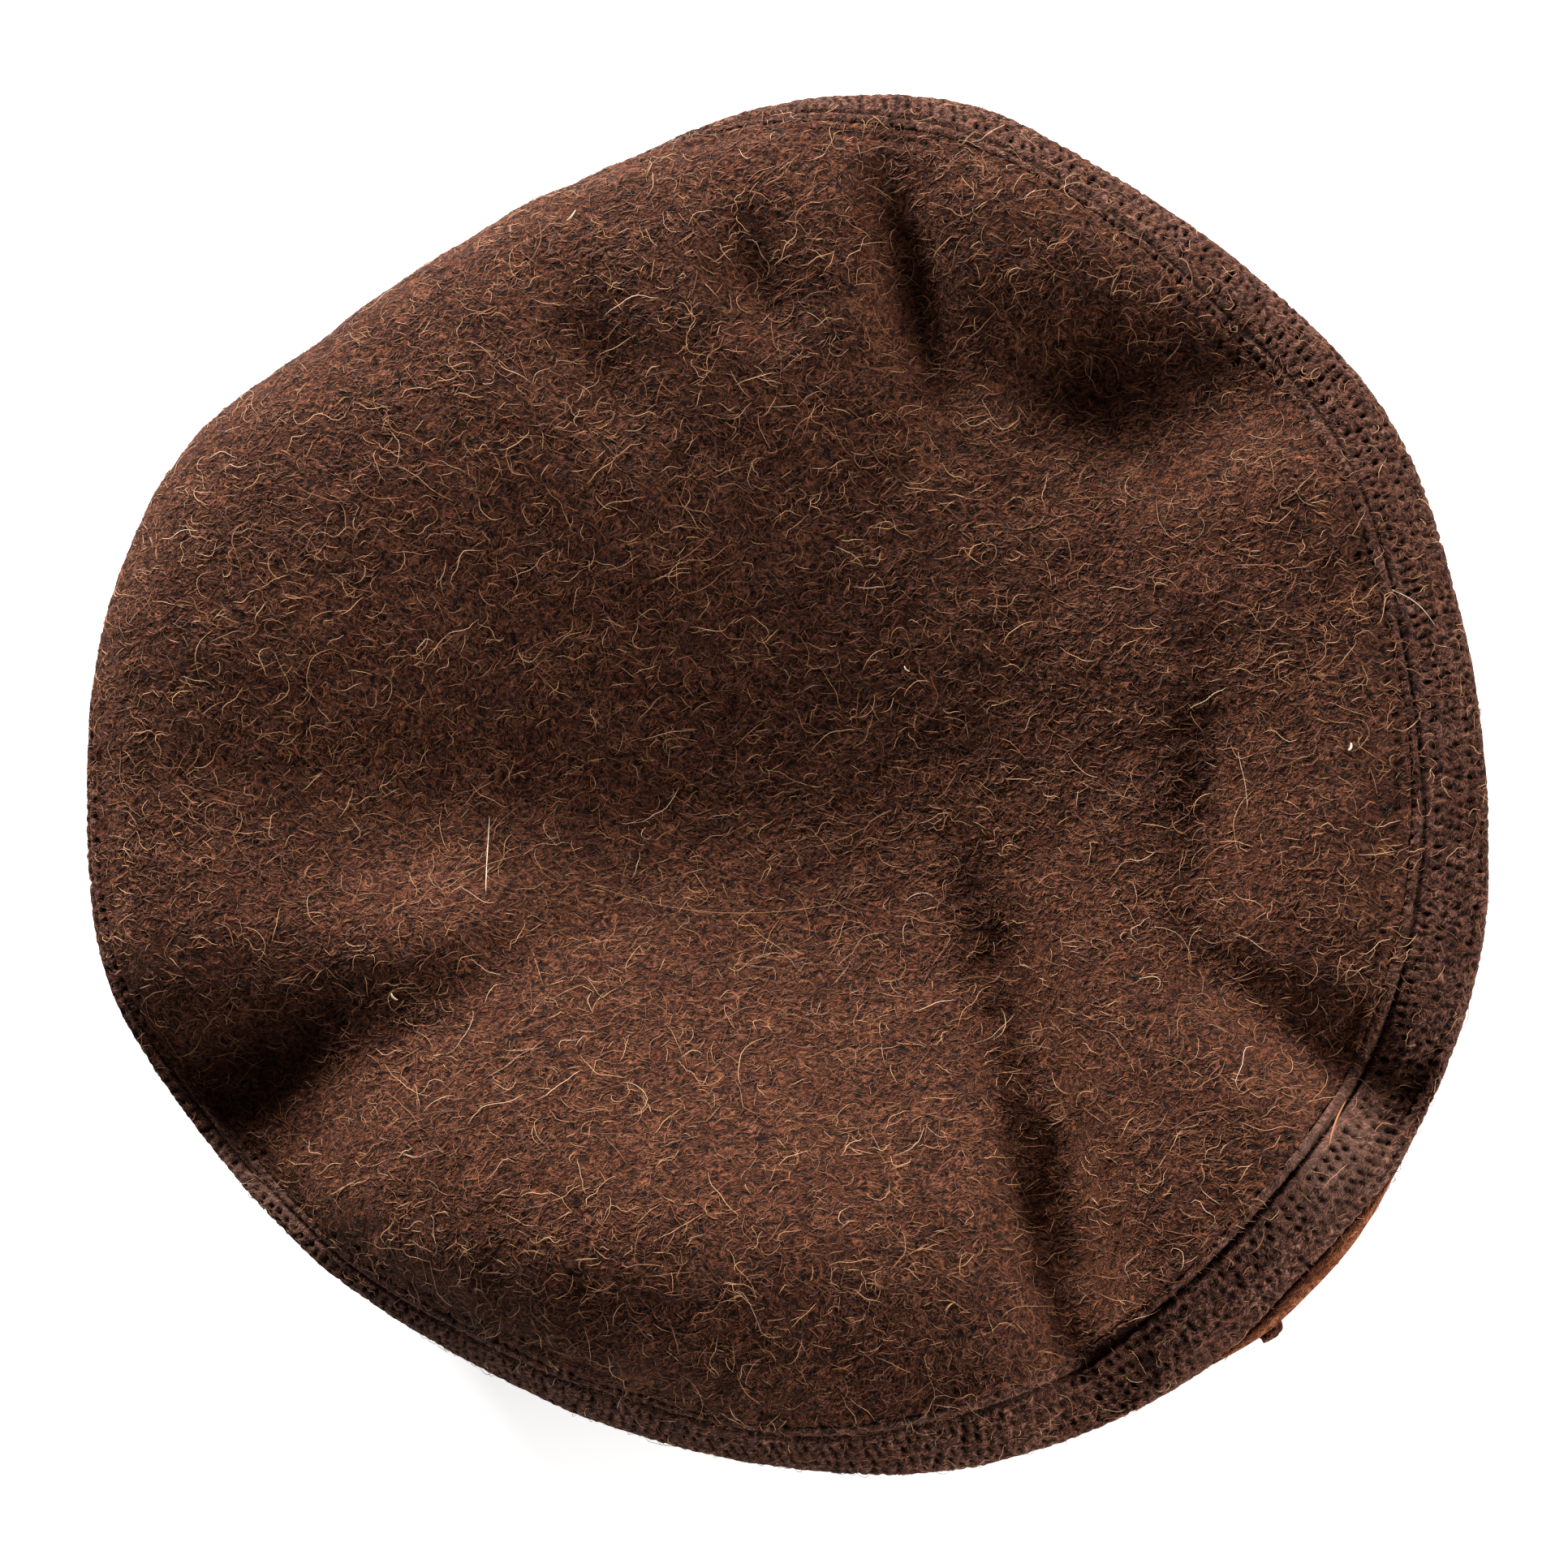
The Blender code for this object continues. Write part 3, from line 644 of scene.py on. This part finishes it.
# The hairs, a row for each lot: where they grow, how many, shortest and longest, the points along each,
# how much they curl from point to point, how high they stand off, how thick they are drawn (a wool hair
# is 0.03 to 0.08, too thin to show), and their tones, from 0, dark brown, to 1, cream.
HAIR_COLUMNS = (
    "cover", "where", "count", "shortest", "longest", "points", "curl", "lift", "thick", "dark", "pale",
)
HAIRS = {
    "crown_undercoat": ("felt", "crown", 26000, 1.4, 3.4, 3, 0.50, 0.25, 0.14, 0.00, 0.56),
    "crown_wool": ("felt", "crown", 12000, 2.4, 5.0, 4, 0.45, 0.40, 0.12, 0.12, 0.80),
    "crown_curls": ("felt", "crown", 3200, 4.0, 9.0, 9, 0.36, 0.70, 0.11, 0.30, 0.88),
    "crown_guard_hairs": ("felt", "crown", 260, 7.0, 15.0, 12, 0.26, 1.00, 0.11, 0.55, 0.95),
    "band_wool": ("felt", "band", 11000, 1.0, 2.8, 3, 0.60, 0.22, 0.13, 0.05, 0.66),
    "band_hairs": ("felt", "band", 1000, 3.0, 8.0, 7, 0.50, 0.80, 0.11, 0.40, 0.85),
    "side_wool": ("felt", "side", 3500, 1.6, 3.8, 3, 0.60, 0.35, 0.16, 0.15, 0.70),
    "brim_wool": ("roll", "roll", 8000, 1.8, 4.5, 3, 0.60, 0.40, 0.16, 0.15, 0.74),
    "brim_hairs": ("roll", "roll", 1000, 4.0, 10.0, 7, 0.45, 0.80, 0.14, 0.35, 0.92),
}
# What hairs are laid over: angles round the cap, the way from the crown's middle, and its stations' step.
COVER_SECTIONS, COVER_LENGTH, COVER_STEP = 720, 168.0, 0.8
# Stray hairs and lint: from where to where in plan, how far they sag for their length, how thick, what tone.
STRAYS = (
    ("crown_pale_hair", -56.0, -3.8, -55.2, -19.4, 0.02, 0.20, 1.0),
    ("crown_long_hair", -44.0, -14.0, 12.0, -20.0, 0.09, 0.10, 0.85),
    ("band_pale_hair", 109.2, 30.6, 116.6, 24.2, -0.10, 0.20, 1.0),
    ("crown_straw", 99.6, -58.2, 96.4, -67.0, 0.04, 0.45, 0.62),
    ("crown_lint_left", -71.6, -37.4, -70.4, -38.6, 0.2, 0.5, 0.95),
    ("crown_lint_right", 101.2, 2.2, 101.8, 3.6, 0.2, 0.5, 1.0),
    ("crown_lint_middle", 21.4, 22.4, 22.4, 21.4, 0.2, 0.4, 0.95),
    ("crown_lint_far", -39.4, 104.4, -37.6, 106.6, 0.1, 0.35, 0.9),
)
STRAY_POINTS = 14
STRAY_LIFT = 0.8  # above the felt's outer face
ROLL_MEAN = 118.0  # radius at which the brim's flat length is read
COMBED = 0.62  # how far hairs stray from lying along X, in radians
TUFT_SIZE = 7.0  # how far apart the denser tufts of hairs are
TUFT_STRENGTH = 1.3
THINNED = (-1.0, 0.6)  # the tufts' strength where no hair grows, and where every one does
FLAT_REACH = 165.0  # from the crown's middle along the felt, past the side cloth
TRIES = 12  # roots tried for each hair that is wanted
SIDE_SEEN = 24.0  # below the hem, the side cloth that shows
ROLL_SEEN = (10.0, 68.0)  # along the brim's section, from the cleft, the part that shows


def felt_cover():
    """The crown's, band's and side's outer face as stations evenly walked from the crown's middle."""
    angles = even_angles(COVER_SECTIONS)
    ways = np.arange(0, COVER_LENGTH, COVER_STEP) + middle_way(angles)[:, None]
    end = sections(angles)[0][:, -1:]
    points = on_felt(angles, np.minimum(ways, end))
    on_band = (ways > -around(angles, "seam")[:, None]) & (ways < hem_way(angles)[:, None])
    relief = felt_lumps(points) * np.where(on_band, BAND_LUMPS, 1.0) + stitch_relief(angles, ways)[0]
    points = points - grid_normals(points) * relief[..., None]
    return {"points": points, "normals": grid_normals(points), "step": COVER_STEP}


def roll_cover():
    """The brim's outer face, from the cleft round its section."""
    way, places = roll_places(even_angles(COVER_SECTIONS))
    return {"points": places, "normals": grid_normals(places), "step": way[1]}


def on_cover(cover, angle, place):
    """Points and normals of a cover at any angle and way along it."""
    rows, columns = cover["points"].shape[:2]
    across = angle / math.tau * rows
    down = np.clip(place / cover["step"], 0, columns - 1.001)
    i, j = np.floor(across).astype(int), np.floor(down).astype(int)
    f, g = (across - i)[..., None], (down - j)[..., None]
    found = []
    for grid in (cover["points"], cover["normals"]):
        near = grid[i % rows, j] * (1 - g) + grid[i % rows, j + 1] * g
        far = grid[(i + 1) % rows, j] * (1 - g) + grid[(i + 1) % rows, j + 1] * g
        found.append(near * (1 - f) + far * f)
    return found[0], unit(found[1])


def flat_to_felt(flat):
    """Flat places as the angle and the way from the crown's middle."""
    return np.arctan2(flat[..., 1], flat[..., 0]), np.hypot(flat[..., 0], flat[..., 1])


def flat_to_roll(flat):
    """Flat places as the angle and the way along the brim's section."""
    return flat[..., 0] / ROLL_MEAN, flat[..., 1]


def hair_roots(where, count, wool):
    """Where hairs grow, in a cover's flat coordinates, spread evenly over that part of the cap."""
    if where == "roll":
        round_brim = wool.uniform(0, math.tau * ROLL_MEAN, count)
        return np.stack([round_brim, wool.uniform(*ROLL_SEEN, count)], axis=1)
    flat = wool.uniform(-FLAT_REACH, FLAT_REACH, (count * TRIES, 2))
    angle, walked = flat_to_felt(flat)
    round_cap = even_angles(COVER_SECTIONS)
    way = walked + np.interp(angle, round_cap, middle_way(round_cap), period=math.tau)
    seam, hem = -around(angle, "seam"), hem_way(angle)
    inside = {
        "crown": way < seam + 0.5,
        "band": (way > seam) & (way < hem),
        "side": (way > hem) & (way < hem + SIDE_SEEN),
    }
    flat = flat[inside[where]]
    tufts = unevenness(np.pad(flat, ((0, 0), (0, 1))), TUFT_SIZE, TUFT_STRENGTH)
    return flat[wool.uniform(*THINNED, len(flat)) < tufts][:count]


def hair_lines(cover, unfold, roots, length, points, curl, lift, wool):
    """Walks each hair over a cover, and returns its points [hair, point, xyz]."""
    count = len(roots)
    heading = wool.normal(0, COMBED, count) + math.pi * wool.integers(0, 2, count)
    bias = wool.normal(0, curl * 0.6, (count, 1))
    swing = wool.normal(0, curl * 1.3, (count, 1))
    start = wool.uniform(0, math.tau, (count, 1))
    rate = wool.uniform(0.6, 1.5, (count, 1))
    steps = np.arange(points - 1)
    jitter = wool.normal(0, curl * 0.3, (count, points - 1))
    turns = heading[:, None] + bias * steps + swing * np.sin(start + rate * steps) + jitter
    step = (length / (points - 1))[:, None, None]
    moves = np.cumsum(np.stack([np.cos(turns), np.sin(turns)], axis=2) * step, axis=1)
    flat = roots[:, None] + np.concatenate([np.zeros((count, 1, 2)), moves], axis=1)
    spots, normals = on_cover(cover, *unfold(flat))
    along = np.linspace(0, 1, points) ** wool.uniform(0.6, 1.7, count)[:, None]
    high = wool.uniform(0.15, 1.0, count)[:, None] * lift * np.sin(math.pi * along) - 0.06
    return spots + normals * high[..., None]


def hair_mesh(name, lines, thick, tones):
    """Joins hairs into one mesh. Each is a three-sided spindle that tapers to a point at both ends."""
    count, points = lines.shape[:2]
    along = unit(np.gradient(lines, axis=1))
    side = unit(np.cross(along, (0.0, 0.02, 1.0)))
    other = np.cross(side, along)
    taper = (np.sin(np.linspace(0, math.pi, points)[1:-1]) ** 0.5)[:, None] * thick / 2
    corners = []
    for k in range(3):
        turn = math.tau * k / 3
        offset = side[:, 1:-1] * math.cos(turn) + other[:, 1:-1] * math.sin(turn)
        corners.append(lines[:, 1:-1] + offset * taper)
    rings = np.stack(corners, axis=2).reshape(count, -1, 3)
    vertices = np.concatenate([lines[:, :1], rings, lines[:, -1:]], axis=1)
    each = vertices.shape[1]
    faces = []
    for k in range(3):
        after = (k + 1) % 3
        faces.append((0, 1 + k, 1 + after))
        for ring in range(points - 3):
            a, b = 1 + 3 * ring + k, 1 + 3 * ring + after
            faces += [(a, a + 3, b + 3), (a, b + 3, b)]
        last = each - 4
        faces.append((last + k, each - 1, last + after))
    faces = (np.array(faces)[None] + np.arange(count)[:, None, None] * each).reshape(-1, 3)
    mesh = bpy.data.meshes.new(name)
    mesh.vertices.add(count * each)
    mesh.vertices.foreach_set("co", to_scene(vertices).ravel())
    mesh.loops.add(faces.size)
    mesh.loops.foreach_set("vertex_index", faces.astype(np.int32).ravel())
    mesh.polygons.add(len(faces))
    mesh.polygons.foreach_set("loop_start", np.arange(0, faces.size, 3, dtype=np.int32))
    mesh.update(calc_edges=True)
    tone = mesh.attributes.new("tone", "FLOAT", "POINT")
    tone.data.foreach_set("value", np.repeat(tones, each).astype(np.float32))
    return mesh


def stray_hairs(material):
    """The few loose hairs and bits of lint that catch the eye, each laid on the felt in its place."""
    for name, x0, y0, x1, y1, sag, thick, tone in STRAYS:
        t = np.linspace(0, 1, STRAY_POINTS)
        x = x0 + (x1 - x0) * t + (y1 - y0) * sag * np.sin(math.pi * t)
        y = y0 + (y1 - y0) * t - (x1 - x0) * sag * np.sin(math.pi * t)
        angles = np.arctan2(y, x)
        walked, radius = sections(angles)[:2]
        top = walked < 0
        ways = []
        for k, r in enumerate(np.hypot(x, y)):
            ways.append(np.interp(r, radius[k][top[k]], walked[k][top[k]]))
        line = on_felt(angles, np.array(ways)[:, None], -STRAY_LIFT)[:, 0]
        mesh = hair_mesh(name, line[None], thick, np.array([tone]))
        show_mesh(name, mesh, material)


def grow_hairs(material):
    """Every lot of hairs, each a piece of its own."""
    covers = {"felt": (felt_cover(), flat_to_felt), "roll": (roll_cover(), flat_to_roll)}
    for number, (name, row) in enumerate(HAIRS.items()):
        lot = dict(zip(HAIR_COLUMNS, row))
        wool = np.random.default_rng(WOOL_SEED + number)
        cover, unfold = covers[lot["cover"]]
        roots = hair_roots(lot["where"], lot["count"], wool)
        length = wool.uniform(lot["shortest"], lot["longest"], len(roots))
        lines = hair_lines(cover, unfold, roots, length, lot["points"], lot["curl"], lot["lift"], wool)
        lines[..., 2] = np.maximum(lines[..., 2], lot["thick"])
        tones = wool.uniform(lot["dark"], lot["pale"], len(roots))
        mesh = hair_mesh(name, lines, lot["thick"], tones)
        show_mesh(name, mesh, material)


def linear(hex_colour):
    """An sRGB hex colour as linear red, green, blue and alpha."""
    parts = [int(hex_colour[k : k + 2], 16) / 255 for k in (0, 2, 4)]
    return [c / 12.92 if c <= 0.04045 else ((c + 0.055) / 1.055) ** 2.4 for c in parts] + [1.0]


def add_node(tree, kind, sockets=(), **settings):
    """Adds a node. Its settings are properties, and its sockets get values or links."""
    node = tree.nodes.new(kind)
    for name, value in settings.items():
        setattr(node, name, value)
    for name, value in dict(sockets).items():
        if isinstance(value, bpy.types.NodeSocket):
            tree.links.new(value, node.inputs[name])
        else:
            node.inputs[name].default_value = value
    return node


def new_material(name):
    """A new material with its nodes and its shader."""
    material = bpy.data.materials.new(name)
    material.use_nodes = True
    tree = material.node_tree
    return material, tree, tree.nodes["Principled BSDF"]


# How the wool lies in the felt, in layers that cross: turn from X, how long a strand runs for its width,
# strands per millimetre, and how strongly the layer shows.
STRAND_LAYERS = ((0.25, 0.40, 0.70, 1.0), (-0.45, 0.45, 1.05, 0.8), (0.9, 0.55, 1.5, 0.55))
# The greyed felt of the worn places, and how much of it shows where it is worn most.
WORN_FELT, WORN_MOST = "7E5F53", 0.38


def wool_felt(name, ground, strand, pale, painted_shade, sewn=False):
    """Fulled wool felt: dark ground with lighter curled strands matted over it, with near-black painted shade
    in the pores and specks between them.
    The matting gives it a dull, deep face that brightens only where light grazes the fuzz."""
    material, tree, shader = new_material(name)
    place = add_node(tree, "ShaderNodeTexCoord")
    in_mm = add_node(
        tree, "ShaderNodeVectorMath", {0: place.outputs["Object"], "Scale": 1000.0}, operation="SCALE",
    )
    wander = add_node(tree, "ShaderNodeTexNoise", {"Vector": in_mm.outputs[0], "Scale": 0.45, "Detail": 0.0})
    curled = add_node(
        tree, "ShaderNodeVectorMath",
        {0: wander.outputs["Color"], 1: (3.2, 3.2, 3.2), 2: in_mm.outputs[0]}, operation="MULTIPLY_ADD",
    )
    matted = None
    for turn, stretch, fine, strength in STRAND_LAYERS:
        laid = add_node(
            tree, "ShaderNodeMapping",
            {"Vector": curled.outputs[0], "Rotation": (0, 0, turn), "Scale": (stretch, 1, 1)},
        )
        field = add_node(
            tree, "ShaderNodeTexNoise", {"Vector": laid.outputs[0], "Scale": fine, "Detail": 0.0},
        )
        off = add_node(tree, "ShaderNodeMath", {0: field.outputs["Fac"], 1: 0.5}, operation="SUBTRACT")
        near = add_node(tree, "ShaderNodeMath", {0: off.outputs[0]}, operation="ABSOLUTE")
        line = add_node(
            tree, "ShaderNodeMapRange",
            {"Value": near.outputs[0], "From Min": 0.0, "From Max": 0.07, "To Min": strength, "To Max": 0.0},
        )
        if matted is None:
            matted = line.outputs["Result"]
        else:
            both = add_node(
                tree, "ShaderNodeMath", {0: matted, 1: line.outputs["Result"]}, operation="MAXIMUM",
            )
            matted = both.outputs[0]
    # Painted shade: the pores, small gaps between the strands, are painted near-black.
    pores = add_node(tree, "ShaderNodeTexNoise", {"Vector": in_mm.outputs[0], "Scale": 0.9, "Detail": 1.0})
    pore = add_node(
        tree, "ShaderNodeMapRange",
        {"Value": pores.outputs["Fac"], "From Min": 0.30, "From Max": 0.53, "To Min": 1.0, "To Max": 0.0},
    )
    clumps = add_node(tree, "ShaderNodeTexNoise", {"Vector": in_mm.outputs[0], "Scale": 0.14, "Detail": 2.0})
    spread = add_node(
        tree, "ShaderNodeMapRange",
        {"Value": clumps.outputs["Fac"], "From Min": 0.3, "From Max": 0.7, "To Min": 0.0, "To Max": 1.0},
    )
    tint = add_node(
        tree, "ShaderNodeMix", {"Factor": spread.outputs["Result"], "A": linear(strand), "B": linear(pale)},
        data_type="RGBA",
    )
    wool = add_node(
        tree, "ShaderNodeMix", {"Factor": matted, "A": linear(ground), "B": tint.outputs["Result"]},
        data_type="RGBA",
    )
    specks = add_node(tree, "ShaderNodeTexNoise", {"Vector": curled.outputs[0], "Scale": 2.4, "Detail": 2.0})
    speck = add_node(
        tree, "ShaderNodeMapRange",
        {"Value": specks.outputs["Fac"], "From Min": 0.35, "From Max": 0.62, "To Min": 0.55, "To Max": 0.0},
    )
    # Painted shade: pores and specks are mixed towards the shade colour.
    shade = add_node(
        tree, "ShaderNodeMath", {0: speck.outputs["Result"], 1: pore.outputs["Result"]}, operation="MAXIMUM",
    )
    shaded = add_node(
        tree, "ShaderNodeMix", {"Factor": shade.outputs[0], "A": wool.outputs["Result"], "B": linear(painted_shade)},
        data_type="RGBA",
    )
    colour = shaded.outputs["Result"]
    worn = add_node(tree, "ShaderNodeAttribute", attribute_name="worn")
    rubbed = add_node(tree, "ShaderNodeMapRange", {"Value": worn.outputs["Fac"], "To Max": WORN_MOST})
    colour = add_node(
        tree, "ShaderNodeMix", {"Factor": rubbed.outputs["Result"], "A": colour, "B": linear(WORN_FELT)},
        data_type="RGBA",
    ).outputs["Result"]
    # Painted shade: the stitches' pits and the ridge's twists are darkened towards the shade colour.
    if sewn:
        painted_stitch_shade = add_node(tree, "ShaderNodeAttribute", attribute_name="painted_stitch_shade")
        deep = add_node(
            tree, "ShaderNodeMapRange",
            {"Value": painted_stitch_shade.outputs["Fac"], "From Min": 0.20, "From Max": 0.85, "To Max": 0.95},
        )
        colour = add_node(
            tree, "ShaderNodeMix", {"Factor": deep.outputs["Result"], "A": colour, "B": linear(painted_shade)},
            data_type="RGBA",
        ).outputs["Result"]
    uneven = add_node(
        tree, "ShaderNodeMath", {0: specks.outputs["Fac"], 1: pores.outputs["Fac"]}, operation="ADD",
    )
    relief = add_node(
        tree, "ShaderNodeBump", {"Height": uneven.outputs[0], "Strength": 1.0, "Distance": 0.0006},
    )
    tree.links.new(colour, shader.inputs["Base Color"])
    tree.links.new(relief.outputs["Normal"], shader.inputs["Normal"])
    shader.inputs["Roughness"].default_value = 0.92
    shader.inputs["Specular IOR Level"].default_value = 0.1
    shader.inputs["Sheen Weight"].default_value = 0.17
    shader.inputs["Sheen Roughness"].default_value = 0.5
    shader.inputs["Sheen Tint"].default_value = linear("A0623E")
    return material


# Tones of the loose hairs, from the dark undercoat to sun-bleached guard hairs.
HAIR_TONES = ((0.0, "22110B"), (0.35, "532D1C"), (0.62, "875636"), (0.85, "BC9066"), (1.0, "DDCAAE"))


def wool_hair(name):
    """Loose wool hairs: each one tone of its own, a little glossier than the felt they lie on."""
    material, tree, shader = new_material(name)
    tone = add_node(tree, "ShaderNodeAttribute", attribute_name="tone")
    ramp = add_node(tree, "ShaderNodeValToRGB", {"Fac": tone.outputs["Fac"]})
    while len(ramp.color_ramp.elements) < len(HAIR_TONES):
        ramp.color_ramp.elements.new(0.5)
    for element, (place, colour) in zip(ramp.color_ramp.elements, HAIR_TONES):
        element.position = place
        element.color = linear(colour)
    tree.links.new(ramp.outputs["Color"], shader.inputs["Base Color"])
    shader.inputs["Roughness"].default_value = 0.6
    shader.inputs["Specular IOR Level"].default_value = 0.3
    return material


WORLD_LIGHT = 0.09
FLOOR_HALF = 10.0
FLOOR_GLOW = 0.60  # the paper is lit from behind too, which keeps the cap's shadow pale
# Name, azimuth and elevation in degrees, distance, width and height in metres, and power in watts.
LIGHTS = (
    ("key", 113.0, 17.8, 1.3, 0.9, 0.38, 83.0),
    ("fill", -14.0, 12.0, 1.3, 0.9, 0.35, 30.0),
    ("near", -48.0, 9.0, 1.3, 0.7, 0.3, 7.5),
)


def plain_stage():
    """A pale floor and soft light, low from beyond the cap's far edge, as in the photograph."""
    bm = bmesh.new()
    bmesh.ops.create_grid(bm, x_segments=1, y_segments=1, size=FLOOR_HALF)
    mesh = bpy.data.meshes.new("floor")
    bm.to_mesh(mesh)
    bm.free()
    material, _, shader = new_material("pale_paper")
    shader.inputs["Base Color"].default_value = linear("F4F4F4")
    shader.inputs["Roughness"].default_value = 0.9
    shader.inputs["Emission Color"].default_value = linear("FFFFFF")
    shader.inputs["Emission Strength"].default_value = FLOOR_GLOW
    mesh.materials.append(material)
    floor = bpy.data.objects.new("floor", mesh)
    bpy.context.scene.collection.objects.link(floor)
    world = bpy.data.worlds.new("soft_room")
    bpy.context.scene.world = world
    world.use_nodes = True
    world.node_tree.nodes["Background"].inputs["Color"].default_value = (1, 1, 1, 1)
    world.node_tree.nodes["Background"].inputs["Strength"].default_value = WORLD_LIGHT
    for name, azimuth, elevation, distance, wide, tall, power in LIGHTS:
        light = bpy.data.lights.new(name, "AREA")
        light.shape = "RECTANGLE"
        light.size, light.size_y = wide, tall
        light.energy = power
        lamp = bpy.data.objects.new(name, light)
        bpy.context.scene.collection.objects.link(lamp)
        turn, rise = math.radians(azimuth), math.radians(elevation)
        towards = Vector((math.cos(turn) * math.cos(rise), math.sin(turn) * math.cos(rise), math.sin(rise)))
        lamp.location = towards * distance
        lamp.rotation_euler = towards.to_track_quat("Z", "Y").to_euler()


# The camera leans from straight above towards the cap's near right side, so that the rust strip shows.
LEAN = math.radians(12)
LEAN_TOWARDS = math.radians(-45)
LENS, SENSOR = 90, 36
CAMERA_AWAY, AIM_HEIGHT = 0.71, 0.050  # metres, from the place it looks at, which is in the crown


def camera():
    """Nearly above the cap, as the photograph was taken."""
    sideways, rise = math.sin(LEAN), math.cos(LEAN)
    back = Vector((sideways * math.cos(LEAN_TOWARDS), sideways * math.sin(LEAN_TOWARDS), rise))
    up = Vector((0, 1, 0))
    up = (up - up.dot(back) * back).normalized()
    data = bpy.data.cameras.new("camera")
    data.lens = LENS
    data.sensor_width = SENSOR
    seen = bpy.data.objects.new("camera", data)
    place = Matrix((up.cross(back), up, back)).transposed().to_4x4()
    place.translation = Vector((MIDDLE_X * MM, MIDDLE_Y * MM, AIM_HEIGHT)) + back * CAMERA_AWAY
    seen.matrix_world = place
    bpy.context.scene.collection.objects.link(seen)
    bpy.context.scene.camera = seen


bpy.context.scene.view_settings.view_transform = "Standard"
camera()
plain_stage()
# Dark brown felt that swallows the light, with redder strands matted over it; painted shade in its pores and
# in the pits of the stitches on its rim.
crown_felt = wool_felt("fulled_wool_felt", "2B150D", "643521", "825037", "090403", sewn=True)
# The same felt, duller and greyer for the handling, with painted shade in its pores and in the pits where the
# thread draws it in.
band_felt = wool_felt("quilted_wool_felt", "321A12", "6B3F2E", "8A6050", "090403", sewn=True)
# The rust brown of the side and brim, the cap's one warm colour, with painted shade in its pores.
side_felt = wool_felt("rust_wool_felt", "552814", "824626", "96603E", "38190C")
# Darker and redder than the side that the nub sits on, with painted shade in its pores.
nub_felt = wool_felt("dark_rust_felt", "32140C", "542415", "6E3826", "140804")
# Fine hairs from near-black to cream that catch the light and blur every edge.
hair = wool_hair("loose_wool_hairs")
crown = crown_top(crown_felt)
band = stitched_band(band_felt)
side = rolled_side(side_felt)
seam_tab(nub_felt)
grow_hairs(hair)
stray_hairs(hair)
